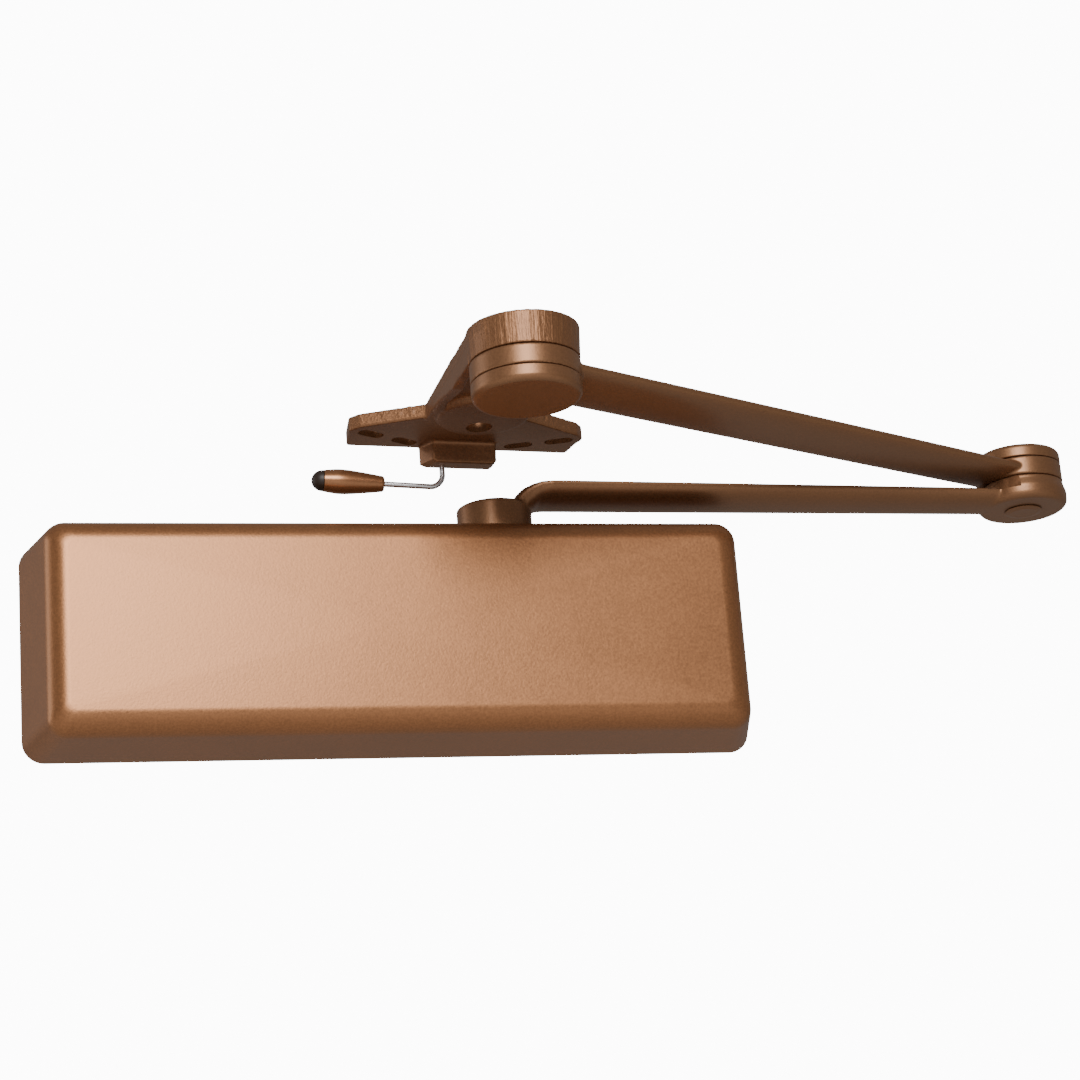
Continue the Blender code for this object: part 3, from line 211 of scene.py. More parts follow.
def tint(colour: Triple, factor: float) -> tuple[float, float, float, float]:
    """Lighten or darken a colour, with a full alpha."""
    return tuple(min(1.0, channel * factor) for channel in colour) + (1.0,)


@dataclass(frozen=True)
class BronzePaint:
    """Light bronze metallic enamel: fine flake in a satin film, over smooth or cast metal."""

    name: str
    colour: Triple = (0.40, 0.205, 0.112)
    roughness: float = 0.36
    metallic: float = 0.72
    flake: float = 0.10          # how far the flakes differ in tone
    grain: float = 0.00001       # relief of the film
    cast: float = 0.0            # relief of the metal under it
    streaked: bool = False       # the mesh has a mask of machined bands

    def make(self) -> bpy.types.Material:
        """Give the material: tone from flakes and slow drift, relief from film, sand and cutter marks."""
        g = Graph(self.name)
        flakes = g.noise(0.0010, 2.0)
        drift = g.noise(0.045, 3.0)
        share = flakes.between(0.25, 0.75) * 0.75 + drift.between(0.3, 0.7) * 0.25
        tone = g.mix(share, tint(self.colour, 1 - self.flake), tint(self.colour, 1 + self.flake))
        worn = g.edges() * g.noise(0.004, 4.0).between(0.45, 0.7)
        tone = g.mix(worn * 0.35, tone, tint(self.colour, 1.35))
        rough = flakes * 0.10 + drift * 0.06 + (self.roughness - 0.08)
        relief = g.bump(g.noise(0.0011, 2.0), self.grain)
        if self.cast:
            relief = g.bump(g.noise(0.0016, 4.0), self.cast, relief)
        if self.streaked:
            band = g.mask("machined")
            streaks = g.noise(0.0012, 3.0, (1.0, 1.0, 0.06))
            relief = g.bump(streaks * band, 0.00035, relief)
            tone = g.mix(streaks.between(0.52, 0.68) * band * 0.5, tone, tint(self.colour, 1.45))
            sand = g.mask("sandy")
            specks = g.noise(0.0011, 4.0)
            relief = g.bump(specks * sand, 0.0005, relief)
        return g.dress(Base_Color=tone, Roughness=rough, Metallic=self.metallic, Normal=relief,
                       Coat_Weight=0.08, Coat_Roughness=0.25)


@dataclass(frozen=True)
class Metal:
    """Bare or plated metal: a tone, a gloss, and marks that run one way or none."""

    name: str
    colour: Triple
    roughness: float
    stretch: Triple = (1.0, 1.0, 1.0)
    mark: float = 0.0008         # size of the marks
    depth: float = 0.00002       # relief of the marks
    metallic: float = 1.0

    def make(self) -> bpy.types.Material:
        """Give the material: marks in tone, gloss and relief, and brighter edges."""
        g = Graph(self.name)
        marks = g.noise(self.mark, 3.0, self.stretch)
        stain = g.noise(0.012, 4.0).between(0.35, 0.75)
        tone = g.mix(stain, tint(self.colour, 1.06), tint(self.colour, 0.82))
        tone = g.mix(g.edges() * 0.5, tone, tint(self.colour, 1.3))
        rough = marks * 0.16 + stain * 0.08 + (self.roughness - 0.10)
        return g.dress(Base_Color=tone, Roughness=rough, Metallic=self.metallic,
                       Normal=g.bump(marks, self.depth))


@dataclass(frozen=True)
class Moulded:
    """Rubber or plastic: a dull skin with a fine texture and a little dust."""

    name: str
    colour: Triple
    roughness: float
    grain: float = 0.0003

    def make(self) -> bpy.types.Material:
        """Give the material: fine texture in relief, and dust that dulls and lightens it."""
        g = Graph(self.name)
        texture = g.noise(self.grain, 3.0)
        dust = g.noise(0.006, 5.0).between(0.45, 0.8)
        tone = g.mix(dust * 0.25, tint(self.colour, 1.0), tint(self.colour, 1.8))
        rough = texture * 0.12 + dust * 0.10 + (self.roughness - 0.08)
        return g.dress(Base_Color=tone, Roughness=rough, Normal=g.bump(texture, 0.00002))


class Slot(Enum):
    """The record's material slots."""

    PAINT = "bronze_paint"
    IRON = "cast_iron"
    STEEL = "bright_steel"
    SPRING = "spring_steel"
    ZINC = "zinc_plate"
    RUBBER = "seal_rubber"
    BUSH = "oiled_bronze"
    TIP = "dark_tip"


class Finish(Enum):
    """Every finish on the closer, with the recipe that makes it."""

    COVER = BronzePaint("cover_enamel", (0.35, 0.152, 0.064), 0.37, 0.75, 0.16, 0.000045)
    # The arm and shoe finishes are darker copies of the cover's bronze paint, which the closer wears all
    # over: their darkening is painted shade.
    ARM = BronzePaint("arm_enamel_painted_shade", (0.27, 0.130, 0.062), 0.41, 0.72, 0.09, 0.000020, 0.00005)
    SHOE = BronzePaint("shoe_enamel_painted_shade", (0.25, 0.114, 0.052), 0.42, 0.70, 0.12, 0.000025, 0.00014, True)
    GRIP = BronzePaint("grip_enamel", (0.33, 0.150, 0.068), 0.30, 0.75, 0.08, 0.000014)
    IRON = Metal("oiled_cast_iron", (0.15, 0.15, 0.155), 0.58, (1.0, 1.0, 1.0), 0.0014, 0.00018, 0.6)
    STEEL = Metal("turned_steel", (0.60, 0.60, 0.61), 0.30, (1.0, 1.0, 1.0), 0.0006, 0.00001)
    SPRING = Metal("tempered_steel", (0.09, 0.09, 0.10), 0.40, (0.3, 1.0, 1.0), 0.0008, 0.00003, 0.9)
    ZINC = Metal("bright_zinc", (0.72, 0.72, 0.74), 0.26, (1.0, 1.0, 1.0), 0.0010, 0.000008)
    BUSH = Metal("oiled_bronze_bush", (0.45, 0.29, 0.12), 0.40, (1.0, 1.0, 1.0), 0.0004, 0.00003, 0.9)
    RUBBER = Moulded("black_rubber", (0.018, 0.018, 0.019), 0.75)
    TIP = Moulded("dark_tip_plastic", (0.022, 0.012, 0.007), 0.50, 0.0005)

    def material(self) -> bpy.types.Material:
        """Give the finish's material, made once."""
        return bpy.data.materials.get(self.value.name) or self.value.make()


# ---------------------------------------------------------------- surfaces
@dataclass
class Shell:
    """A closed surface as arrays: points, four-sided faces and three-sided faces."""

    points: Array
    quads: Array
    tris: Array = field(default_factory=lambda: np.zeros((0, 3), int))

    def __add__(self, other: "Shell") -> "Shell":
        """Put two surfaces in one."""
        shift = len(self.points)
        return Shell(np.vstack((self.points, other.points)), np.vstack((self.quads, other.quads + shift)),
                     np.vstack((self.tris, other.tris + shift)))


def skin(rings: Array, looped: bool = False, ends: tuple | None = None) -> Shell:
    """Skin a stack of closed rings.

    Ring i and ring i + 1 are joined by one four-sided face for each step round, and each end is closed
    by a fan about its middle or about a given point.

    Args:
        rings: points, as rings by steps by three.
        looped: whether the last ring joins the first.
        ends: the two points that close the stack, or None for the middle of each end ring.

    Returns:
        The closed surface.
    """
    count, steps, _ = rings.shape
    rows = np.arange(count if looped else count - 1)[:, None]
    turn = np.arange(steps)[None, :]
    after = (turn + 1) % steps
    above = (rows + 1) % count
    here, there = rows * steps, above * steps
    quads = np.stack((here + turn, here + after, there + after, there + turn), -1)
    points = rings.reshape(-1, 3)
    if looped:
        return Shell(points, quads.reshape(-1, 4))
    middles = np.array(ends) if ends is not None else np.stack((rings[0].mean(0), rings[-1].mean(0)))
    first, last = count * steps, count * steps + 1
    top = (count - 1) * steps
    start = np.stack((np.full(steps, first), after[0], turn[0]), -1)
    end = np.stack((np.full(steps, last), top + turn[0], top + after[0]), -1)
    return Shell(np.vstack((points, middles)), quads.reshape(-1, 4), np.vstack((start, end)))


def rounded(corners: Iterable[Triple], closed: bool = True, steps: int = 6) -> Array:
    """Round a path's corners.

    An arc of the corner's own radius r touches both of its sides r / tan(half the angle between them)
    from the corner, or nearer where a side is too short.

    Args:
        corners: each corner's place and radius.
        closed: whether the path comes back to its start; an open path keeps its two ends.
        steps: steps along each arc.

    Returns:
        The path's points, two numbers each.
    """
    data = np.array(list(corners), float)
    places, radii = data[:, :2], data[:, 2]
    made = []
    for k, (corner, radius) in enumerate(zip(places, radii)):
        at_end = not closed and k in (0, len(places) - 1)
        if at_end or radius <= 0:
            made.append(corner[None])
            continue
        back = places[k - 1] - corner
        ahead = places[(k + 1) % len(places)] - corner
        reach = 0.49 * min(np.linalg.norm(back), np.linalg.norm(ahead))
        back, ahead = back / np.linalg.norm(back), ahead / np.linalg.norm(ahead)
        half = 0.5 * np.arccos(np.clip(back @ ahead, -1.0, 1.0))
        touch = min(radius / np.tan(half), reach)
        centre = corner + (back + ahead) / np.linalg.norm(back + ahead) * touch / np.cos(half)
        start, end = corner + back * touch - centre, corner + ahead * touch - centre
        sweep = atan2(start[0] * end[1] - start[1] * end[0], start @ end)
        turn = np.linspace(0.0, sweep, steps + 1)[:, None]
        side = np.array([-start[1], start[0]])
        made.append(centre + start * np.cos(turn) + side * np.sin(turn))
    return np.vstack(made)


def refined(path: Array, spacing: float, closed: bool = False) -> Array:
    """Put points on a path's straight runs so that none is longer than the spacing."""
    ends = np.vstack((path, path[:1])) if closed else path
    runs = np.linalg.norm(np.diff(ends, axis=0), axis=1)
    along = np.concatenate(([0.0], np.cumsum(runs)))
    counts = np.maximum(2, np.ceil(np.diff(along) / spacing).astype(int) + 1)
    places = [np.linspace(a, b, count)[:-1] for a, b, count in zip(along, along[1:], counts)]
    places = np.concatenate(places if closed else [*places, along[-1:]])
    return np.stack([np.interp(places, along, ends[:, axis]) for axis in range(path.shape[1])], -1)


def disc(radius: float, span: Pair, under: float, over: float) -> Array:
    """Give the half profile of a disc, its lower and upper edges rounded by their own radii."""
    low, high = span
    return rounded([(0.0, low, 0.0), (radius, low, under), (radius, high, over), (0.0, high, 0.0)],
                   closed=False)


def lathe(profile: Array, centre: Iterable[float], steps: int = 96) -> Shell:
    """Turn a profile about an upright axis.

    Each profile point at radius r and height h becomes the ring (r cos a, r sin a, h) about the centre.
    A profile whose ends lie on the axis closes on it, and any other is a loop.

    Args:
        profile: radius and height of each point.
        centre: a point on the axis, where height is 0.
        steps: steps round.

    Returns:
        The closed surface.
    """
    turn = np.linspace(0.0, 2 * pi, steps, endpoint=False)
    solid = profile[0, 0] < 1e-9 and profile[-1, 0] < 1e-9
    walls = profile[1:-1] if solid else profile
    radius, height = walls[:, :1], walls[:, 1:]
    rings = np.stack(np.broadcast_arrays(radius * np.cos(turn), radius * np.sin(turn), height), -1)
    rings = rings + np.array(centre)
    if not solid:
        return skin(rings, looped=True)
    ends = [np.array(centre) + (0.0, 0.0, h) for h in profile[[0, -1], 1]]
    return skin(rings, ends=tuple(ends))


def slab(outline: Array, profile: Array) -> Shell:
    """Raise a flat outline through a profile.

    Ring i is the outline pushed inwards by profile[i, 0] along its own inward direction, at the height
    profile[i, 1].

    Args:
        outline: the outline's points in X and Y, anticlockwise.
        profile: inset and height of each ring, from the bottom up.

    Returns:
        The closed surface.
    """
    along = np.roll(outline, -1, 0) - np.roll(outline, 1, 0)
    along /= np.linalg.norm(along, axis=1, keepdims=True)
    inward = np.stack((-along[:, 1], along[:, 0]), -1)
    flat = outline[None] + inward[None] * profile[:, None, :1]
    height = np.broadcast_to(profile[:, None, 1:], (*flat.shape[:2], 1))
    return skin(np.concatenate((flat, height), -1))


def oval(half_width: Array, thickness: Array, squareness: Array, steps: int = 56) -> tuple[Array, Array]:
    """Give superellipse sections.

    Across is half_width |cos a| ^ (2 / n) and up is thickness / 2 |sin a| ^ (2 / n), each with its sign.

    Args:
        half_width: one number for each section.
        thickness: one number for each section.
        squareness: the exponent n, 2 for a plain ellipse and more for a softened bar.
        steps: points round each section.

    Returns:
        Across and up, as sections by steps.
    """
    turn = (np.arange(steps) + 0.5) * 2 * pi / steps
    power = 2.0 / squareness[:, None]
    across = half_width[:, None] * np.sign(np.cos(turn)) * np.abs(np.cos(turn)) ** power
    up = thickness[:, None] / 2 * np.sign(np.sin(turn)) * np.abs(np.sin(turn)) ** power
    return across, up


def tube(path: Array, radius: float, steps: int = 24) -> Shell:
    """Carry a circle of one radius along a path that lies in an upright plane facing Y."""
    along = np.gradient(path, axis=0)
    along /= np.linalg.norm(along, axis=1, keepdims=True)
    across = np.array([0.0, 1.0, 0.0])
    out = np.cross(along, across)
    turn = np.linspace(0.0, 2 * pi, steps, endpoint=False)[None, :, None]
    return skin(path[:, None] + radius * (out[:, None] * np.cos(turn) + across * np.sin(turn)))


def smoothstep(values: Array, low: float, high: float) -> Array:
    """Rise from 0 at low to 1 at high along 3 t^2 - 2 t^3."""
    t = np.clip((values - low) / (high - low), 0.0, 1.0)
    return t * t * (3 - 2 * t)


def below(points: Array, low: float, high: float) -> Array:
    """Give 1 for points under one height, falling to 0 at another."""
    return 1 - smoothstep(points[:, 2], low, high)


def bell(values: Array, middle: float, width: float) -> Array:
    """Give exp(-(distance from the middle / width)^2)."""
    return np.exp(-((values - middle) / width) ** 2)


# ---------------------------------------------------------------- mesh work
def build(name: str, shell: Shell) -> bpy.types.Object:
    """Put a surface into a mesh object, with its faces pointing out."""
    mesh = bpy.data.meshes.new(name)
    mesh.from_pydata(shell.points.tolist(), [], shell.quads.tolist() + shell.tris.tolist())
    made = bpy.data.objects.new(name, mesh)
    bpy.context.scene.collection.objects.link(made)
    turn_outwards(made)
    return made


def turn_outwards(made: bpy.types.Object) -> None:
    """Merge doubled points and point every face of a closed mesh outwards."""
    bm = bmesh.new()
    bm.from_mesh(made.data)
    bmesh.ops.remove_doubles(bm, verts=bm.verts, dist=1e-7)
    bmesh.ops.recalc_face_normals(bm, faces=bm.faces)
    bm.to_mesh(made.data)
    bm.free()


def settle(made: bpy.types.Object) -> None:
    """Apply an object's modifiers to its mesh."""
    graph = bpy.context.evaluated_depsgraph_get()
    graph.update()
    mesh = bpy.data.meshes.new_from_object(made.evaluated_get(graph))
    made.modifiers.clear()
    made.data = mesh
    mesh.name = made.name


def shade(made: bpy.types.Object, sharp: float = 35.0) -> None:
    """Shade a mesh smooth, with a crease where its faces turn by more than an angle."""
    made.data.shade_smooth()
    made.data.set_sharp_from_angle(angle=radians(sharp))


def fuse(name: str, shells: list[Shell], voxel: float) -> bpy.types.Object:
    """Melt overlapping closed surfaces into one, with faces about one voxel across."""
    total = shells[0]
    for shell in shells[1:]:
        total = total + shell
    made = build(name, total)
    remesh = made.modifiers.new("melt", "REMESH")
    remesh.mode = "VOXEL"
    remesh.voxel_size = voxel
    settle(made)
    return made


def cut(made: bpy.types.Object, shells: list[Shell]) -> None:
    """Cut closed surfaces out of an object."""
    tools = [build(f"{made.name}_cutter", shell) for shell in shells]
    for tool in tools:
        step = made.modifiers.new("cut", "BOOLEAN")
        step.operation = "DIFFERENCE"
        step.solver = "EXACT"
        step.object = tool
    settle(made)
    for tool in tools:
        bpy.data.objects.remove(tool)


def read_points(made: bpy.types.Object) -> Array:
    """Read a mesh's points."""
    flat = np.zeros(len(made.data.vertices) * 3)
    made.data.vertices.foreach_get("co", flat)
    return flat.reshape(-1, 3)


def write_points(made: bpy.types.Object, points: Array) -> None:
    """Write a mesh's points back."""
    made.data.vertices.foreach_set("co", points.ravel())
    made.data.update()


def read_normals(made: bpy.types.Object) -> Array:
    """Read the direction that each point of a mesh faces."""
    flat = np.zeros(len(made.data.vertices) * 3)
    made.data.vertices.foreach_get("normal", flat)
    return flat.reshape(-1, 3)


def relax(made: bpy.types.Object, rounds: int, where: Field | None = None) -> None:
    """Smooth a mesh.

    In each round a point moves towards the mean of its neighbours by half the way, times the weight at
    its place. With no weight, a second move of slightly more than that goes back, so nothing shrinks.

    Args:
        made: the object.
        rounds: how many rounds.
        where: the weight, from 0 to 1, at each point.
    """
    points = read_points(made)
    edges = np.zeros(len(made.data.edges) * 2, int)
    made.data.edges.foreach_get("vertices", edges)
    ends = np.concatenate((edges[0::2], edges[1::2]))
    others = np.concatenate((edges[1::2], edges[0::2]))
    count = np.bincount(ends, minlength=len(points))[:, None]
    weight = where(points)[:, None] if where else 1.0
    for _ in range(rounds):
        for step in ((0.5,) if where else (0.5, -0.52)):
            total = [np.bincount(ends, points[others, axis], len(points)) for axis in range(3)]
            points = points + step * weight * (np.stack(total, -1) / count - points)
    write_points(made, points)


def displace(made: bpy.types.Object, rise: Field) -> None:
    """Move each point along the way it faces, by what a field gives at its place."""
    points = read_points(made)
    write_points(made, points + read_normals(made) * rise(points)[:, None])


def mark(made: bpy.types.Object, name: str, where: Field) -> None:
    """Keep a number at each point, for the finish to read."""
    values = where(read_points(made)).astype(np.float32)
    made.data.attributes.new(name, "FLOAT", "POINT").data.foreach_set("value", values)


def ripple(values: Array, length: float, seed: int, waves: int = 9) -> Array:
    """Give a seeded wandering line of about -1 to 1: a sum of sines of random length and phase."""
    chance = np.random.default_rng(seed)
    lengths = length * chance.uniform(0.5, 2.2, waves)
    phases = chance.uniform(0.0, 2 * pi, waves)
    return np.sin(values[:, None] * 2 * pi / lengths + phases).sum(1) / np.sqrt(waves)


# ---------------------------------------------------------------- places from the frame
def middle(node: str) -> Vector:
    """Give the middle of a node's box."""
    low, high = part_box(node)
    return (low + high) / 2


def height(node: str) -> Pair:
    """Give a node's lowest and highest Z."""
    low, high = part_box(node)
    return low.z, high.z


@dataclass(frozen=True)
class Datum:
    """A local frame: an upright axis through a place, with local X turned to a heading."""

    place: Vector
    heading: float

    def carry(self, made: bpy.types.Object) -> None:
        """Take an object's points from this frame to the closer's."""
        shift = Matrix.Translation(Vector((self.place.x, self.place.y, 0.0)))
        made.data.transform(shift @ Matrix.Rotation(self.heading, 4, "Z"))
        made.data.update()


class Axes:
    """The closer's three upright axes, and the headings of what lies between them."""

    def __init__(self) -> None:
        """Read the axes off the pieces that are round about them."""
        self.pin = middle("upper_bearing")
        self.elbow = middle("elbow_cap")
        self.drum = middle("drum_cap")
        self.main_arm = self.between(self.pin, self.elbow)
        self.forearm = self.between(self.elbow, self.drum)
        self.shoe = Datum(self.drum, SHOE_HEADING)

    @staticmethod
    def between(start: Vector, end: Vector) -> Datum:
        """Give the frame that starts at one axis and heads for another."""
        return Datum(start, atan2(end.y - start.y, end.x - start.x))


@dataclass
class Part:
    """What every sub-assembly shares: how a finished piece joins the model."""

    axes: Axes

    def hand_over(self, piece: bpy.types.Object, body: str, node: str, slot: Slot, finish: Finish,
                  sharp: float = 35.0) -> bpy.types.Object:
        """Shade a piece, dress it, and let it stand for its node on its body."""
        shade(piece, sharp)
        piece.data.materials.clear()
        piece.data.materials.append(finish.material())
        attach(piece, body)
        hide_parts(node)
        LOG.info("%s: %d points", piece.name, len(piece.data.vertices))
        return piece


# ---------------------------------------------------------------- cover
@dataclass
class Cover(Part):
    """The drawn box over the body, open towards the door, with a notch round the main arm's hub."""

    wall: float = 1.8 * MM
    draft: float = radians(2.4)
    end_draft: float = radians(13.5)
    front_radius: float = 10.8 * MM
    corner_radius: float = 10.1 * MM
    notch_radius: float = 17.9 * MM
    corner_steps: int = 20

    def inset(self, draft: float, shrink: float, depth: Array) -> Array:
        """Give how far in from its rim a sloping side lies.

        Down to where the front edge's arc touches it, the side is straight and lies
        shrink / cos(draft) + depth tan(draft) in. Beyond that it follows the arc, whose middle is one
        radius behind the front.

        Args:
            draft: the side's slope.
            shrink: how far inside the outer skin this skin lies.
            depth: distance from the rim.

        Returns:
            The inset at each depth.
        """
        edge = self.front_radius - shrink
        low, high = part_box("cover")
        middle = high.y - low.y - self.front_radius
        straight = shrink / cos(draft) + np.tan(draft) * depth
        reach = shrink / cos(draft) + np.tan(draft) * middle + edge / cos(draft)
        arc = reach - np.sqrt(np.maximum(edge ** 2 - (depth - middle) ** 2, 0.0))
        return np.where(depth < middle + edge * np.sin(draft), straight, arc)

    def rings(self, shrink: float) -> Array:
        """Give one skin of the box from its rim to its front, shrink inside the outer one."""
        low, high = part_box("cover")
        total = high.y - low.y - shrink
        edge = self.front_radius - shrink
        turn = np.linspace(0.0, pi / 2, 28)
        depth = np.concatenate((np.linspace(0.0, total - edge, 24)[:-1], total - edge * (1 - np.sin(turn))))
        ends, sides = self.inset(self.end_draft, shrink, depth), self.inset(self.draft, shrink, depth)
        flat = np.stack([self.outline(end, side) for end, side in zip(ends, sides)])
        across = np.broadcast_to((high.y - depth)[:, None, None], (*flat.shape[:2], 1))
        return np.concatenate((flat[..., :1], across, flat[..., 1:]), -1)

    def outline(self, end: float, side: float) -> Array:
        """Give the rounded rectangle in X and Z, inset at its ends and sides, its straight runs cut up."""
        low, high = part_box("cover")
        shift = np.array([(high.x + low.x) / 2, 0.0])
        half = np.array([(high.x - low.x) / 2 - end, (high.z - low.z) / 2 - side])
        radius = max(self.corner_radius - side / 2, 1.5 * MM)
        signs = np.array(((1, 1), (-1, 1), (-1, -1), (1, -1)))
        turn = np.linspace(0.0, pi / 2, self.corner_steps + 1)
        arcs = []
        for quarter, sign in enumerate(signs):
            angle = turn + quarter * pi / 2
            arc = radius * np.stack((np.cos(angle), np.sin(angle)), -1)
            arcs.append(shift + sign * (half - radius) + arc)
        stops = np.linspace(0.0, 1.0, 17)[1:-1, None]
        runs = []
        for quarter, arc in enumerate(arcs):
            follow = arcs[(quarter + 1) % 4][0]
            runs += [arc, arc[-1] + (follow - arc[-1]) * stops]
        return np.vstack(runs)

    def make(self) -> None:
        """Build the shell, cut the notch and dress it."""
        outer, inner = self.rings(0.0), self.rings(self.wall)
        stack = np.concatenate((outer[::-1], inner))
        shell = skin(stack, ends=(outer[-1].mean(0), inner[-1].mean(0)))
        piece = build("closer_cover", shell)
        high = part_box("cover")[1].z
        reach = self.notch_radius
        slot = rounded([(-reach, 0.04, 0.0), (-reach, -reach, reach), (reach, -reach, reach),
                        (reach, 0.04, 0.0)], steps=20)
        slot = slot + np.array([self.axes.pin.x, self.axes.pin.y])
        cut(piece, [slab(slot, np.array([(0.0, high - 6 * MM), (0.0, high + 6 * MM)]))])
        self.hand_over(piece, "closer_body", "cover", Slot.PAINT, Finish.COVER, 50.0)


# ---------------------------------------------------------------- main arm
@dataclass
class MainArm(Part):
    """The main arm: hub, cranked neck, bar that thins and narrows, and the flared lower eye."""

    voxel: float = 0.5 * MM
    hub_radius: float = 17.3 * MM
    hub_height: float = 13.5 * MM
    edge: float = 0.8 * MM
    neck_low: float = 53.1 * MM
    low: Pair = (62.8 * MM, 64.1 * MM)
    thickness: Pair = (8.4 * MM, 6.8 * MM)
    half_width: Pair = (15.9 * MM, 14.0 * MM)
    eye_radius: float = 20.6 * MM
    eye_flare: float = 1.1 * MM
    square: float = 11.6 * MM
    pin_hole: float = 6.5 * MM

    def bar(self, length: float) -> Shell:
        """Carry the section from inside the hub to inside the eye.

        Below its widest level the section is half of a superellipse of exponent 2.25, and above it a
        crown whose edge is broad on the neck and sharp along the bar. The underside leaves the hub
        later than the top does, and all sizes shrink evenly from there to the eye.
        """
        along = np.concatenate((np.linspace(6.2 * MM, 27 * MM, 60)[:-1],
                                np.linspace(27 * MM, length - 12 * MM, 110)))
        share = np.clip((along - 25 * MM) / (length - 37 * MM), 0.0, 1.0)
        bar_low = self.low[0] + (self.low[1] - self.low[0]) * share
        thick = self.thickness[0] + (self.thickness[1] - self.thickness[0]) * share
        rows = np.array((6.2, 7.8, 9.5, 12, 16, 20.5, 25)) * MM
        crest = np.interp(along, rows, (0.0, 0.30, 0.53, 0.75, 0.92, 1.0, 1.0))
        lift = np.interp(along, rows, (0.0, 0.0, 0.03, 0.15, 0.55, 0.92, 1.0))
        hub_top = height("main_arm")[0] + self.hub_height - self.edge
        top = hub_top + (bar_low + thick - hub_top) * crest
        foot = self.neck_low + (bar_low - self.neck_low) * lift
        half = np.interp(along, [6.2 * MM, 25 * MM], [12.2 * MM, self.half_width[0]])
        half = half + (self.half_width[1] - self.half_width[0]) * share
        crown_rows = np.array((6, 14, 20, 30, 140)) * MM
        crown = np.interp(along, crown_rows, np.array((3.2, 2.8, 1.4, 1.0, 0.8)) * MM)
        turn = (np.arange(64) + 0.5) * 2 * pi / 64
        above = np.sin(turn) > 0
        power = np.where(above, 2 / 3.2, 2 / 2.25)
        across = half[:, None] * np.sign(np.cos(turn)) * np.abs(np.cos(turn)) ** power
        swell = np.abs(np.sin(turn)) ** power
        belly = (top - foot - crown)[:, None]
        rise = np.where(above, belly + crown[:, None] * swell, belly * (1 - swell))
        spread = np.broadcast_to(along[:, None], across.shape)
        return skin(np.stack((spread, across, foot[:, None] + rise), -1))

    def eye(self, length: float) -> Shell:
        """Turn the lower eye, which swells just above its rounded underside."""
        low, high = self.low[1], height("main_arm")[1]
        wide = self.eye_radius + self.eye_flare
        profile = rounded([(0.0, low, 0.0), (wide - 0.4 * MM, low, 5.4 * MM), (wide, low + 6.4 * MM, 5 * MM),
                           (self.eye_radius, high - 1.5 * MM, 4 * MM), (self.eye_radius, high, 0.7 * MM),
                           (0.0, high, 0.0)], closed=False, steps=10)
        return lathe(profile, (length, 0.0, 0.0), 144)

    def recess(self, length: float) -> Shell:
        """Make the cutter of the step over the bar, which thins the eye's wall down to a flat."""
        turn = np.radians(np.linspace(120.0, 229.0, 40))
        inner = 18.4 * MM * np.stack((np.cos(turn), np.sin(turn)), -1)
        flat = 20.9 * MM * np.array([(cos(radians(247.0)), sin(radians(247.0)))])
        turn = np.radians(np.linspace(247.0, 120.0, 40))
        outer = 27.0 * MM * np.stack((np.cos(turn), np.sin(turn)), -1)
        outline = np.vstack((inner, flat, outer))[::-1] + np.array([length, 0.0])
        low, high = self.low[1] + 5.6 * MM, height("main_arm")[1] + 2 * MM
        return slab(outline, np.array([(0.0, low), (0.0, high)]))

    def make(self) -> None:
        """Melt hub, bar and eye together, soften where they meet, and drill both ends."""
        length = (self.axes.elbow - self.axes.pin).xy.length
        low = height("main_arm")[0]
        top = low + self.hub_height
        hub = lathe(disc(self.hub_radius, (low, top), 0.9 * MM, 1.1 * MM), (0.0, 0.0, 0.0))
        piece = fuse("rigid_main_arm", [hub, self.bar(length), self.eye(length)], self.voxel)
        relax(piece, 5)
        relax(piece, 10, lambda p: bell(p[:, 0], 12 * MM, 7 * MM) * smoothstep(p[:, 2], top - 2 * MM, top))
        relax(piece, 30, lambda p: bell(p[:, 0], 19 * MM, 5 * MM) * below(p, 64 * MM, 67 * MM))
        relax(piece, 14, lambda p: bell(p[:, 0], length - 20 * MM, 5 * MM) * below(p, 68 * MM, 70 * MM))
        half = self.square / 2
        hole = slab(rounded([(-half, -half, 0.4 * MM), (half, -half, 0.4 * MM), (half, half, 0.4 * MM),
                             (-half, half, 0.4 * MM)]), np.array([(0.0, low - 5 * MM), (0.0, top + 5 * MM)]))
        bore = np.array([(0.0, 0.05), (self.pin_hole, 0.05), (self.pin_hole, 0.09), (0.0, 0.09)])
        cut(piece, [hole, lathe(bore, (length, 0.0, 0.0), 64), self.recess(length)])
        self.axes.main_arm.carry(piece)
        self.hand_over(piece, "main_arm_set", "main_arm", Slot.PAINT, Finish.ARM)


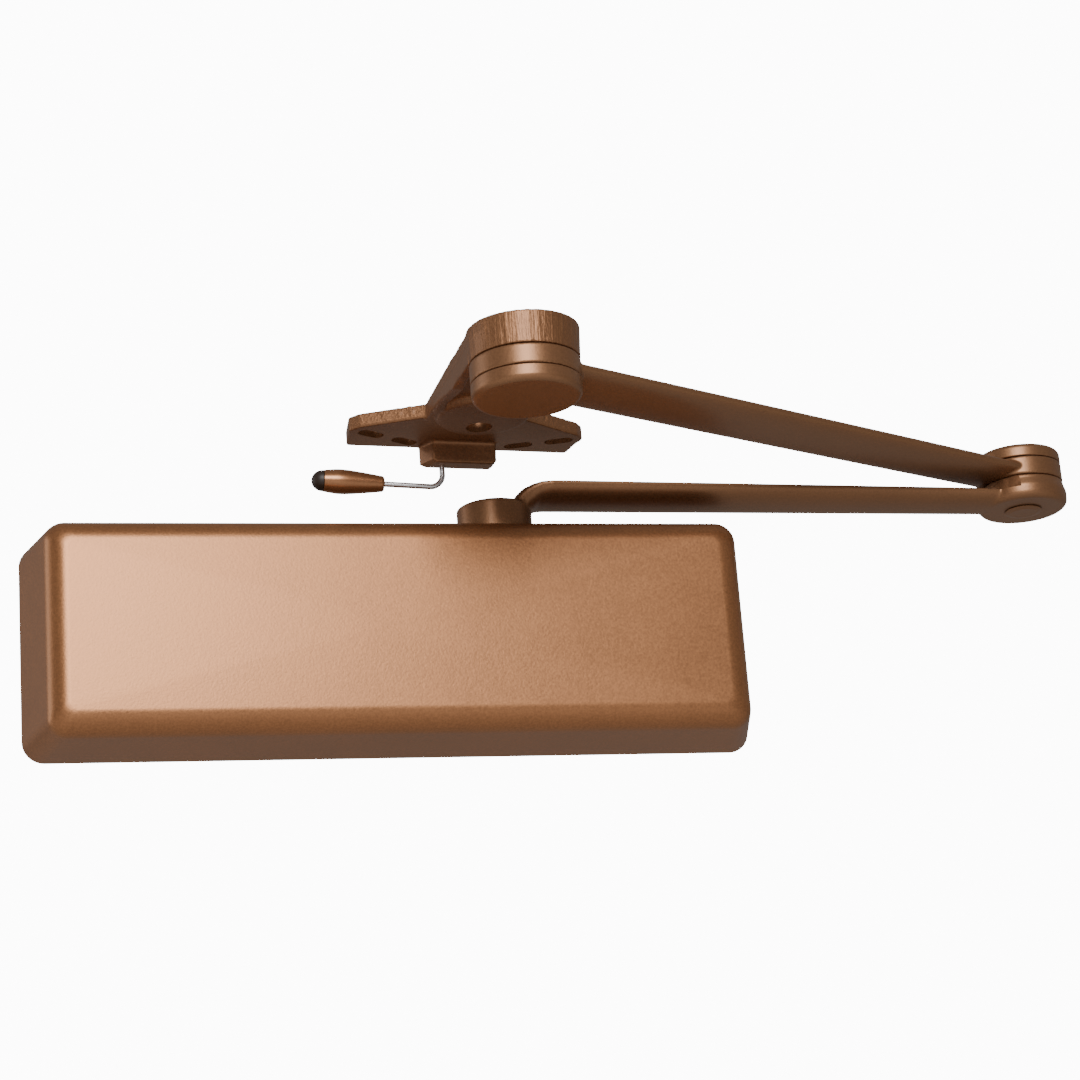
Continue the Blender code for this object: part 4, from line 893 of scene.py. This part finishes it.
# ---------------------------------------------------------------- forearm
@dataclass
class Forearm(Part):
    """The forearm: an oval bar that widens from the elbow's middle ring to the drum's."""

    voxel: float = 0.52 * MM
    eye_radius: float = 20.6 * MM
    ring_radius: float = 24.0 * MM
    thickness: float = 8.4 * MM
    half_width: Pair = (14.7 * MM, 18.6 * MM)
    elbow_bore: float = 9.0 * MM
    drum_bore: float = 9.5 * MM

    def bar(self, length: float) -> Shell:
        """Carry an oval from inside one ring to inside the other, widening evenly."""
        low = height("forearm")[0]
        share = np.linspace(0.035, 0.95, 150)
        half = self.half_width[0] + (self.half_width[1] - self.half_width[0]) * share ** 0.7
        across, up = oval(half, np.full_like(share, self.thickness), np.full_like(share, 2.15))
        spread = np.broadcast_to((share * length)[:, None], across.shape)
        return skin(np.stack((spread, across, up + low + self.thickness / 2), -1))

    def ring(self, radius: float, at: float) -> Shell:
        """Turn one end's ring, its edges just broken."""
        return lathe(disc(radius, height("forearm"), 0.6 * MM, 0.6 * MM), (at, 0.0, 0.0), 128)

    def make(self) -> None:
        """Melt the rings and the bar together, soften the joins and bore both ends."""
        length = (self.axes.drum - self.axes.elbow).xy.length
        shells = [self.ring(self.eye_radius, 0.0), self.bar(length), self.ring(self.ring_radius, length)]
        piece = fuse("forearm_bar", shells, self.voxel)
        relax(piece, 5)
        relax(piece, 5, lambda p: bell(p[:, 0], 20 * MM, 5 * MM))
        relax(piece, 14, lambda p: bell(p[:, 0], length - 24 * MM, 7 * MM))
        bores = []
        for radius, at in ((self.elbow_bore, 0.0), (self.drum_bore, length)):
            profile = np.array([(0.0, 0.07), (radius, 0.07), (radius, 0.09), (0.0, 0.09)])
            bores.append(lathe(profile, (at, 0.0, 0.0), 64))
        cut(piece, bores)
        self.axes.forearm.carry(piece)
        self.hand_over(piece, "forearm_set", "forearm", Slot.PAINT, Finish.ARM)


# ---------------------------------------------------------------- shoe
@dataclass
class Shoe(Part):
    """The shoe casting: drum, ribbed neck, winged plate, the ring at the neck's root, and the lip."""

    voxel: float = 0.52 * MM
    drum_radius: float = 24.0 * MM
    drum_low: float = 85.4 * MM
    pocket_radius: float = 18.0 * MM
    stud_hole: float = 7.3 * MM
    flare: float = 0.7 * MM
    plate_thickness: float = 6.8 * MM
    plate_centre: float = 4.0 * MM
    plate_half: float = 56.0 * MM
    plate_back: float = 124.5 * MM
    tip_front: float = 105.0 * MM
    root_front: float = 85.0 * MM
    root_half: float = 23.0 * MM
    neck_half: float = 20.5 * MM
    rib: float = 5.0 * MM
    ring_radius: float = 23.0 * MM
    ring_centre: float = 79.0 * MM
    ring_drop: float = 2.4 * MM
    hole: Triple = (5.0 * MM, 90.0 * MM, 6.0 * MM)
    lip: Pair = (5.0 * MM, 15.0 * MM)
    lip_splay: float = 5.0 * MM
    lip_front: float = 113.5 * MM
    slots: tuple[Pair, ...] = ((27.5 * MM, 116.5 * MM), (45.0 * MM, 109.0 * MM))
    slot_radius: float = 3.2 * MM
    slot_run: float = 3.5 * MM

    def drum(self, top: float) -> Shell:
        """Turn the drum as a loop, hollow underneath and bored for the stud."""
        roof = top - 4.0 * MM
        low, pocket = self.drum_low, self.pocket_radius
        profile = rounded([(self.stud_hole, top, 0.0), (self.drum_radius + self.flare, top, 0.6 * MM),
                           (self.drum_radius, low, 0.3 * MM), (pocket, low, 0.4 * MM),
                           (pocket, roof, 0.8 * MM), (self.stud_hole, roof, 0.0)])
        return lathe(profile, (0.0, 0.0, 0.0), 144)

    def neck(self, top: float) -> list[Shell]:
        """Make the web between drum and plate, and a rib down each of its sides.

        A rib is a bar whose outer side follows the neck's taper and whose depth falls from the drum's to
        the plate's along its length.
        """
        roof = top - self.plate_thickness + 0.4 * MM
        wide, end = self.drum_radius - 1.2 * MM, self.root_front + 3 * MM
        web = rounded([(-wide, 14 * MM, 0.0), (wide, 14 * MM, 0.0), (self.neck_half, end, 0.0),
                       (-self.neck_half, end, 0.0)])
        shells = [slab(web, np.array([(0.0, roof), (0.0, top)]))]
        run = np.linspace(4 * MM, self.root_front + 4 * MM, 60)
        half = np.interp(run, [4 * MM, 30 * MM, 60 * MM, 90 * MM],
                         [self.drum_radius, 23.2 * MM, 21.8 * MM, self.neck_half])
        depth = np.interp(run, [0.0, 34 * MM, 62 * MM, 90 * MM], [1.0, 0.95, 0.62, 0.45])
        low = top - 1 * MM - (top - 1 * MM - self.drum_low) * depth
        for side in (-1, 1):
            outer, inner = side * half, side * (half - self.rib)
            roofs = np.full_like(run, top - 0.5 * MM)
            corners = [(outer, roofs), (inner, roofs), (inner, low), (outer, low)]
            shells.append(skin(np.stack([np.stack((u, run, z), -1) for u, z in corners], 1)))
        return shells

    def plate(self, top: float) -> Shell:
        """Raise the winged plate, its underside edges rounded."""
        left, right = self.plate_centre - self.plate_half, self.plate_centre + self.plate_half
        back, front = self.tip_front + 1 * MM, self.tip_front - 4 * MM
        outline = [(left + 3 * MM, self.plate_back, 1.5 * MM), (left, back, 3 * MM),
                   (left + 4 * MM, front, 3 * MM),
                   (self.plate_centre - self.root_half, self.root_front, 2 * MM),
                   (self.plate_centre + self.root_half, self.root_front, 2 * MM),
                   (right - 4 * MM, front, 3 * MM), (right, back, 3 * MM),
                   (right - 3 * MM, self.plate_back, 1.5 * MM)]
        low = top - self.plate_thickness
        profile = np.array([(0.5 * MM, low), (0.12 * MM, low + 0.12 * MM), (0.0, low + 0.5 * MM),
                            (0.0, top - 0.6 * MM), (0.6 * MM, top)])
        return slab(refined(rounded(outline), 2 * MM, True), profile)

    def ring(self, top: float) -> Shell:
        """Turn the low ring round the neck's root."""
        low = top - self.plate_thickness - self.ring_drop
        profile = rounded([(0.0, low, 0.0), (self.ring_radius - 2.4 * MM, low, 1.2 * MM),
                           (self.ring_radius, low + 3.4 * MM, 0.6 * MM),
                           (self.ring_radius - 2 * MM, top - 1 * MM, 0.0),
                           (0.0, top - 1 * MM, 0.0)], closed=False)
        return lathe(profile, (self.plate_centre, self.ring_centre, 0.0), 96)

    def make_lip(self, top: float) -> Shell:
        """Carry the lip's section sideways; its lower corners are round, and its left end slants outwards."""
        low = height("shoe_casting")[0]
        roof = top - self.plate_thickness + 1 * MM
        section = rounded([(self.lip_front, roof, 0.0), (self.lip_front + 1.4 * MM, low, 1.0 * MM),
                           (self.plate_back - 0.6 * MM, low, 1.2 * MM),
                           (self.plate_back - 0.4 * MM, roof, 0.0)])
        side = np.linspace(-1.0, 1.0, 40)
        middle_u, half = self.lip
        pinch = 1.4 * MM * smoothstep(np.abs(side), 0.86, 1.0)
        v = np.broadcast_to(section[None, :, 0], (len(side), len(section)))
        z = np.maximum(section[None, :, 1], low + pinch[:, None])
        slant = self.lip_splay * (v - self.lip_front) / (self.plate_back - self.lip_front)
        u = middle_u + half * side[:, None] - slant * np.clip(-side, 0.0, 1.0)[:, None]
        return skin(np.stack((u, v, z), -1))

    def slot_shell(self, side: int, u: float, v: float, top: float) -> Shell:
        """Make the cutter of one slot, a run with round ends that leans with its wing."""
        turn = side * radians(-25)
        angle = np.concatenate((np.linspace(-pi / 2, pi / 2, 13), np.linspace(pi / 2, 3 * pi / 2, 13)))
        shift = np.where(np.arange(26) < 13, self.slot_run, -self.slot_run)
        x = shift + self.slot_radius * np.cos(angle)
        y = self.slot_radius * np.sin(angle)
        outline = np.stack((self.plate_centre + side * u + x * cos(turn) - y * sin(turn),
                            v + x * sin(turn) + y * cos(turn)), -1)
        return slab(outline, np.array([(0.0, top - 16 * MM), (0.0, top + 5 * MM)]))

    def roughen(self, piece: bpy.types.Object, top: float) -> None:
        """Give the wings' front faces a ragged cast face and the drum a cutter's chatter."""
        def rise(p: Array) -> Array:
            """Raise by ripples that run down the face, only on the wings' fronts and the drum's band."""
            wing = smoothstep(np.abs(p[:, 0] - self.plate_centre), 22 * MM, 28 * MM)
            front = 1 - smoothstep(p[:, 1], 104 * MM, 112 * MM)
            high = smoothstep(p[:, 2], top - 6 * MM, top - 3 * MM)
            line = p[:, 0] + 0.4 * p[:, 2] + 0.8 * MM * ripple(p[:, 2], 3.0 * MM, 8, 4)
            ragged = ripple(line, 4.5 * MM, 5) + 0.5 * ripple(line, 2.2 * MM, 6)
            root = bell(np.abs(p[:, 0] - self.plate_centre), 34 * MM, 9 * MM)
            ragged = ragged * (0.35 + 0.65 * root)
            reach = np.hypot(p[:, 0], p[:, 1])
            band = bell(reach, self.drum_radius, 1.2 * MM) * (1 - smoothstep(p[:, 1], -2 * MM, 8 * MM))
            turn = np.arctan2(p[:, 1], p[:, 0]) * self.drum_radius
            chatter = ripple(turn, 2.6 * MM, 9)
            return 0.11 * MM * wing * front * high * ragged + 0.05 * MM * band * chatter - 0.05 * MM * band
        displace(piece, rise)

    def make(self) -> None:
        """Melt the casting together, soften and roughen it, and cut its holes."""
        top = height("shoe_casting")[1]
        shells = [self.drum(top), *self.neck(top), self.plate(top), self.ring(top), self.make_lip(top)]
        piece = fuse("shoe_body", shells, self.voxel)
        relax(piece, 4)
        under = top - self.plate_thickness
        relax(piece, 16, lambda p: bell(p[:, 1], self.lip_front, 4 * MM) * bell(p[:, 2], under, 2.5 * MM))
        relax(piece, 14, lambda p: bell(p[:, 1], 24 * MM, 5 * MM)
              * smoothstep(np.hypot(p[:, 0], p[:, 1]), 20 * MM, 23 * MM))
        relax(piece, 16, lambda p: bell(p[:, 1], 66 * MM, 14 * MM) * below(p, top - 3 * MM, top - 1 * MM))
        self.roughen(piece, top)
        tools = [self.slot_shell(side, u, v, top) for side in (-1, 1) for u, v in self.slots]
        aside, ahead, radius = self.hole
        centre = np.array([(0.0, top - 20 * MM), (radius, top - 20 * MM), (radius, top + 5 * MM),
                           (0.0, top + 5 * MM)])
        tools.append(lathe(centre, (aside, ahead, 0.0), 64))
        cut(piece, tools)

        def machined(p: Array) -> Array:
            """Mark the drum's wall away from the neck."""
            wall = bell(np.hypot(p[:, 0], p[:, 1]), self.drum_radius, 1.5 * MM)
            return wall * (1 - smoothstep(p[:, 1], 4 * MM, 16 * MM))

        def sandy(p: Array) -> Array:
            """Mark the wings' fronts and the neck's root."""
            wing = smoothstep(np.abs(p[:, 0] - self.plate_centre), 20 * MM, 27 * MM)
            wing = wing * (1 - smoothstep(p[:, 1], 104 * MM, 112 * MM))
            root = bell(p[:, 1], 62 * MM, 12 * MM) * below(p, top - 8 * MM, top - 5 * MM)
            return np.clip(wing * smoothstep(p[:, 2], under, under + 2 * MM) + root, 0.0, 1.0)
        mark(piece, "machined", machined)
        mark(piece, "sandy", sandy)
        self.axes.shoe.carry(piece)
        self.hand_over(piece, "shoe_set", "shoe_casting", Slot.PAINT, Finish.SHOE)


# ---------------------------------------------------------------- caps, rivet and handle
@dataclass
class Caps(Part):
    """The turned pieces at both pivots: drum cap, elbow cap and the elbow's rivet."""

    drum_radius: float = 24.0 * MM
    elbow_radius: float = 20.6 * MM
    rivet_radius: float = 6.2 * MM
    head_radius: float = 9.0 * MM
    stud_bore: float = 7.3 * MM
    clearance: float = 0.3 * MM

    def make(self) -> None:
        """Turn the three pieces in place."""
        low, high = height("drum_cap")
        floor = height("shoe_stud")[0] - self.clearance
        profile = rounded([(0.0, low, 0.0), (self.drum_radius, low, 3.0 * MM),
                           (self.drum_radius, high, 0.5 * MM), (self.stud_bore, high, 0.3 * MM),
                           (self.stud_bore, floor, 0.0), (0.0, floor, 0.0)],
                          closed=False, steps=12)
        shell = lathe(refined(profile, 1 * MM), (self.axes.drum.x, self.axes.drum.y, 0.0), 144)
        self.hand_over(build("drum_end_cap", shell), "shoe_set", "drum_cap", Slot.PAINT, Finish.ARM, 60.0)
        low, high = height("elbow_cap")
        bore, roof = self.rivet_radius + self.clearance, height("elbow_rivet")[1] + self.clearance
        profile = rounded([(0.0, roof, 0.0), (bore, roof, 0.2 * MM), (bore, low, 0.3 * MM),
                           (self.elbow_radius, low, 0.5 * MM), (self.elbow_radius, high, 2.6 * MM),
                           (0.0, high, 0.0)],
                          closed=False, steps=12)
        shell = lathe(refined(profile, 1 * MM), (self.axes.elbow.x, self.axes.elbow.y, 0.0), 128)
        piece = build("elbow_end_cap", shell)
        self.hand_over(piece, "main_arm_set", "elbow_cap", Slot.PAINT, Finish.ARM, 60.0)
        low, high = height("elbow_rivet")
        seat = low + 1.1 * MM
        profile = rounded([(0.0, low + 0.1 * MM, 0.0), (self.head_radius - 2.6 * MM, low, 2 * MM),
                           (self.head_radius, low + 0.7 * MM, 0.5 * MM), (self.head_radius, seat, 0.1 * MM),
                           (self.rivet_radius, seat, 0.0), (self.rivet_radius, high, 0.5 * MM),
                           (0.0, high, 0.0)],
                          closed=False, steps=8)
        shell = lathe(refined(profile, 1 * MM), (self.axes.elbow.x, self.axes.elbow.y, 0.0), 96)
        piece = build("elbow_rivet_pin", shell)
        self.hand_over(piece, "main_arm_set", "elbow_rivet", Slot.PAINT, Finish.ARM, 50.0)


@dataclass
class Handle(Part):
    """The hold-open handle: a bent rod, its waisted grip and the grip's dark domed end."""

    tilt: float = radians(3.1)
    rod_radius: float = 1.3 * MM
    bend: float = 6.0 * MM
    grip_start: float = 27.5 * MM
    length: float = 33.5 * MM
    tip: float = 5.5 * MM
    small: float = 3.6 * MM
    bulge: float = 5.9 * MM
    level: float = 73.2 * MM

    def frame(self) -> tuple[Vector, Vector, Vector]:
        """Give the rod's upright axis, the end of its bend and the way the grip points."""
        low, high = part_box("handle_rod")
        pivot = Vector((high.x - self.rod_radius, (low.y + high.y) / 2, 0.0))
        away = Vector((-cos(self.tilt), 0.0, sin(self.tilt)))
        sweep = pi / 2 + self.tilt
        corner = pivot + Vector((-self.bend, 0.0, self.level + self.bend))
        corner += self.bend * Vector((cos(sweep), 0.0, -sin(sweep)))
        return pivot, corner, away

    def turned(self, name: str, profile: Array, start: Vector, away: Vector) -> bpy.types.Object:
        """Turn a profile about the grip's own axis."""
        piece = build(name, lathe(profile, (0.0, 0.0, 0.0), 72))
        turn = Vector((0.0, 0.0, 1.0)).rotation_difference(away).to_matrix().to_4x4()
        piece.data.transform(Matrix.Translation(start) @ turn)
        return piece

    def make(self) -> None:
        """Build the rod along its bend, then the grip and its end."""
        pivot, corner, away = self.frame()
        top = height("handle_rod")[1]
        turn = np.linspace(0.0, pi / 2 + self.tilt, 24)
        centre = np.array(pivot + Vector((-self.bend, 0.0, self.level + self.bend)))
        arc = centre + self.bend * np.stack((np.cos(turn), np.zeros(24), -np.sin(turn)), -1)
        end = np.array(corner + away * (self.grip_start - self.bend + 6 * MM))
        start = np.array(pivot + Vector((0.0, 0.0, top)))
        path = refined(np.vstack((start, arc, end)), 1.2 * MM)
        piece = build("handle_stem", tube(path, self.rod_radius))
        self.hand_over(piece, "handle_set", "handle_rod", Slot.ZINC, Finish.ZINC, 50.0)
        body = self.length - self.tip
        bore = self.rod_radius + 0.3 * MM
        run = np.linspace(0.0, body, 40)
        knots = [0.0, 8 * MM, 16 * MM, 20.5 * MM, 24 * MM, body]
        radii = [self.small, self.small + 1.1 * MM, self.bulge - 0.3 * MM, self.bulge, self.bulge - 0.3 * MM,
                 self.bulge - 0.9 * MM]
        outer = np.interp(run, knots, radii)
        for _ in range(12):
            outer[1:-1] = (outer[:-2] + 2 * outer[1:-1] + outer[2:]) / 4
        outer[0] -= 0.5 * MM
        wall = np.stack((outer, run), -1)
        profile = np.vstack(((0.0, 6.5 * MM), (bore, 6.5 * MM), (bore, 0.0), wall, (0.0, body)))
        place = corner + away * (self.grip_start - self.bend)
        piece = self.turned("handle_knob", profile, place, away)
        self.hand_over(piece, "handle_set", "handle_grip", Slot.PAINT, Finish.GRIP, 50.0)
        wide = self.bulge - 1.0 * MM
        rise = np.linspace(0.0, pi / 2, 20)
        base = body + 0.3 * MM
        dome = np.stack((wide * np.cos(rise), base + self.tip * np.sin(rise) * 0.96), -1)
        dome[-1, 0] = 0.0
        profile = np.vstack(((0.0, base), dome))
        piece = self.turned("handle_end", profile, place, away)
        self.hand_over(piece, "handle_set", "handle_tip", Slot.TIP, Finish.TIP, 50.0)


# ---------------------------------------------------------------- the mechanism's own nodes
@dataclass
class Mechanism(Part):
    """Every other piece: the inner metalwork and the small fixings, with their edges broken."""

    edge: float = 0.3 * MM
    finishes: dict[str, tuple[Slot, Finish]] = field(default_factory=lambda: {
        "cast_iron": (Slot.IRON, Finish.IRON), "bright_steel": (Slot.STEEL, Finish.STEEL),
        "spring_steel": (Slot.SPRING, Finish.SPRING), "zinc_plate": (Slot.ZINC, Finish.ZINC),
        "seal_rubber": (Slot.RUBBER, Finish.RUBBER), "oiled_bronze": (Slot.BUSH, Finish.BUSH)})
    kept: tuple[str, ...] = ("closing_spring",)

    def softened(self, node: str) -> bpy.types.Object:
        """Copy a node's solid, merge its points and break its edges."""
        piece = bpy.data.objects.new(f"{node}_fine", frame["nodes"][node].data.copy())
        bpy.context.scene.collection.objects.link(piece)
        bm = bmesh.new()
        bm.from_mesh(piece.data)
        bmesh.ops.remove_doubles(bm, verts=bm.verts, dist=1e-6)
        bmesh.ops.dissolve_limit(bm, angle_limit=radians(0.5), verts=bm.verts, edges=bm.edges)
        bm.to_mesh(piece.data)
        bm.free()
        bevel = piece.modifiers.new("broken_edges", "BEVEL")
        bevel.width = self.edge
        bevel.segments = 2
        bevel.limit_method = "ANGLE"
        bevel.angle_limit = radians(40)
        settle(piece)
        return piece

    def make(self, done: set[str]) -> None:
        """Dress every node that has no piece of its own yet.

        Args:
            done: the nodes that other sub-assemblies stand for.
        """
        record = frame["record"]
        bodies = {node: body for body, nodes in record["behaviour"]["bodies"].items() for node in nodes}
        for part in record["subparts"]:
            node = part["node"]
            if node in done:
                continue
            slot, finish = self.finishes[part["material_slot"]]
            if node in self.kept:
                solid = frame["nodes"][node]
                solid.data.materials.clear()
                solid.data.materials.append(finish.material())
                continue
            self.hand_over(self.softened(node), bodies[node], node, slot, finish, 30.0)


# ---------------------------------------------------------------- studio
@dataclass
class Studio:
    """A pale floor, one broad front light, one weak fill, a plain surround and the camera."""

    floor_drop: float = 0.36
    azimuth: float = radians(13.55)
    elevation: float = radians(18.77)
    roll: float = radians(-4.415)
    place: Vector = field(default_factory=lambda: Vector((-0.2297, -1.2802, -0.3931)))
    lens: float = 98.49

    def camera(self) -> None:
        """Set the camera below and to the left of the closer, looking up at it."""
        data = bpy.data.cameras.new("camera")
        data.lens = self.lens
        made = bpy.data.objects.new("camera", data)
        bpy.context.scene.collection.objects.link(made)
        forward = Vector((sin(self.azimuth) * cos(self.elevation), cos(self.azimuth) * cos(self.elevation),
                          sin(self.elevation)))
        level = Vector((cos(self.azimuth), -sin(self.azimuth), 0.0))
        above = level.cross(forward)
        right = level * cos(self.roll) + above * sin(self.roll)
        up = right.cross(forward)
        axes = Matrix((right, up, -forward)).transposed().to_4x4()
        made.matrix_world = Matrix.Translation(self.place) @ axes
        bpy.context.scene.camera = made

    def light(self, name: str, place: Triple, aim: Triple,
              size: Pair, power: float) -> None:
        """Add a rectangular soft light that the camera doesn't see."""
        data = bpy.data.lights.new(name, "AREA")
        data.shape = "RECTANGLE"
        data.size, data.size_y = size
        data.energy = power
        made = bpy.data.objects.new(name, data)
        bpy.context.scene.collection.objects.link(made)
        made.location = place
        made.rotation_euler = (Vector(aim) - Vector(place)).to_track_quat("-Z", "Y").to_euler()
        made.visible_camera = False

    def surround(self) -> None:
        """Give a plain surround: white where it is seen, and a dim grey for light and reflections."""
        world = bpy.data.worlds.new("studio")
        bpy.context.scene.world = world
        world.use_nodes = True
        tree = world.node_tree
        seen = tree.nodes.new("ShaderNodeLightPath").outputs["Is Camera Ray"]
        white = tree.nodes["Background"]
        white.inputs["Color"].default_value = (1.0, 1.0, 1.0, 1.0)
        white.inputs["Strength"].default_value = 12.0
        grey = tree.nodes.new("ShaderNodeBackground")
        grey.inputs["Color"].default_value = (1.0, 0.97, 0.94, 1.0)
        grey.inputs["Strength"].default_value = 0.25
        mix = tree.nodes.new("ShaderNodeMixShader")
        tree.links.new(seen, mix.inputs[0])
        tree.links.new(grey.outputs[0], mix.inputs[1])
        tree.links.new(white.outputs[0], mix.inputs[2])
        tree.links.new(mix.outputs[0], tree.nodes["World Output"].inputs["Surface"])

    def floor(self) -> None:
        """Lay a wide pale floor under the closer."""
        level = CAD_BOX[0].z - self.floor_drop
        half = 3.0
        signs = ((-1, -1), (1, -1), (1, 1), (-1, 1))
        corners = np.array([(x * half, y * half, level) for x, y in signs])
        mesh = bpy.data.meshes.new("floor")
        mesh.from_pydata(corners.tolist(), [], [(0, 1, 2, 3)])
        made = bpy.data.objects.new("floor", mesh)
        bpy.context.scene.collection.objects.link(made)
        g = Graph("pale_floor")
        cloud = g.noise(0.4, 3.0)
        tone = g.mix(cloud, (0.70, 0.69, 0.67, 1.0), (0.78, 0.77, 0.75, 1.0))
        mesh.materials.append(g.dress(Base_Color=tone, Roughness=0.8))

    def make(self) -> None:
        """Put up the whole studio."""
        self.surround()
        self.floor()
        self.light("front_softbox", (-0.26, -1.9, 0.72), (-0.03, 0.0, 0.0), (0.95, 0.85), 36.0)
        self.light("left_fill", (-1.6, 0.5, 0.3), (-0.1, 0.0, 0.0), (0.8, 1.2), 5.0)
        self.camera()


def main() -> None:
    """Build the sub-assemblies in order, then the studio."""
    axes = Axes()
    for part in (Cover(axes), MainArm(axes), Forearm(axes), Shoe(axes), Caps(axes), Handle(axes)):
        part.make()
        LOG.info("made %s", type(part).__name__)
    done = {"cover", "main_arm", "forearm", "shoe_casting", "drum_cap", "elbow_cap", "elbow_rivet",
            "handle_rod", "handle_grip", "handle_tip"}
    Mechanism(axes).make(done)
    Studio().make()


if __name__ == "__main__":
    main()
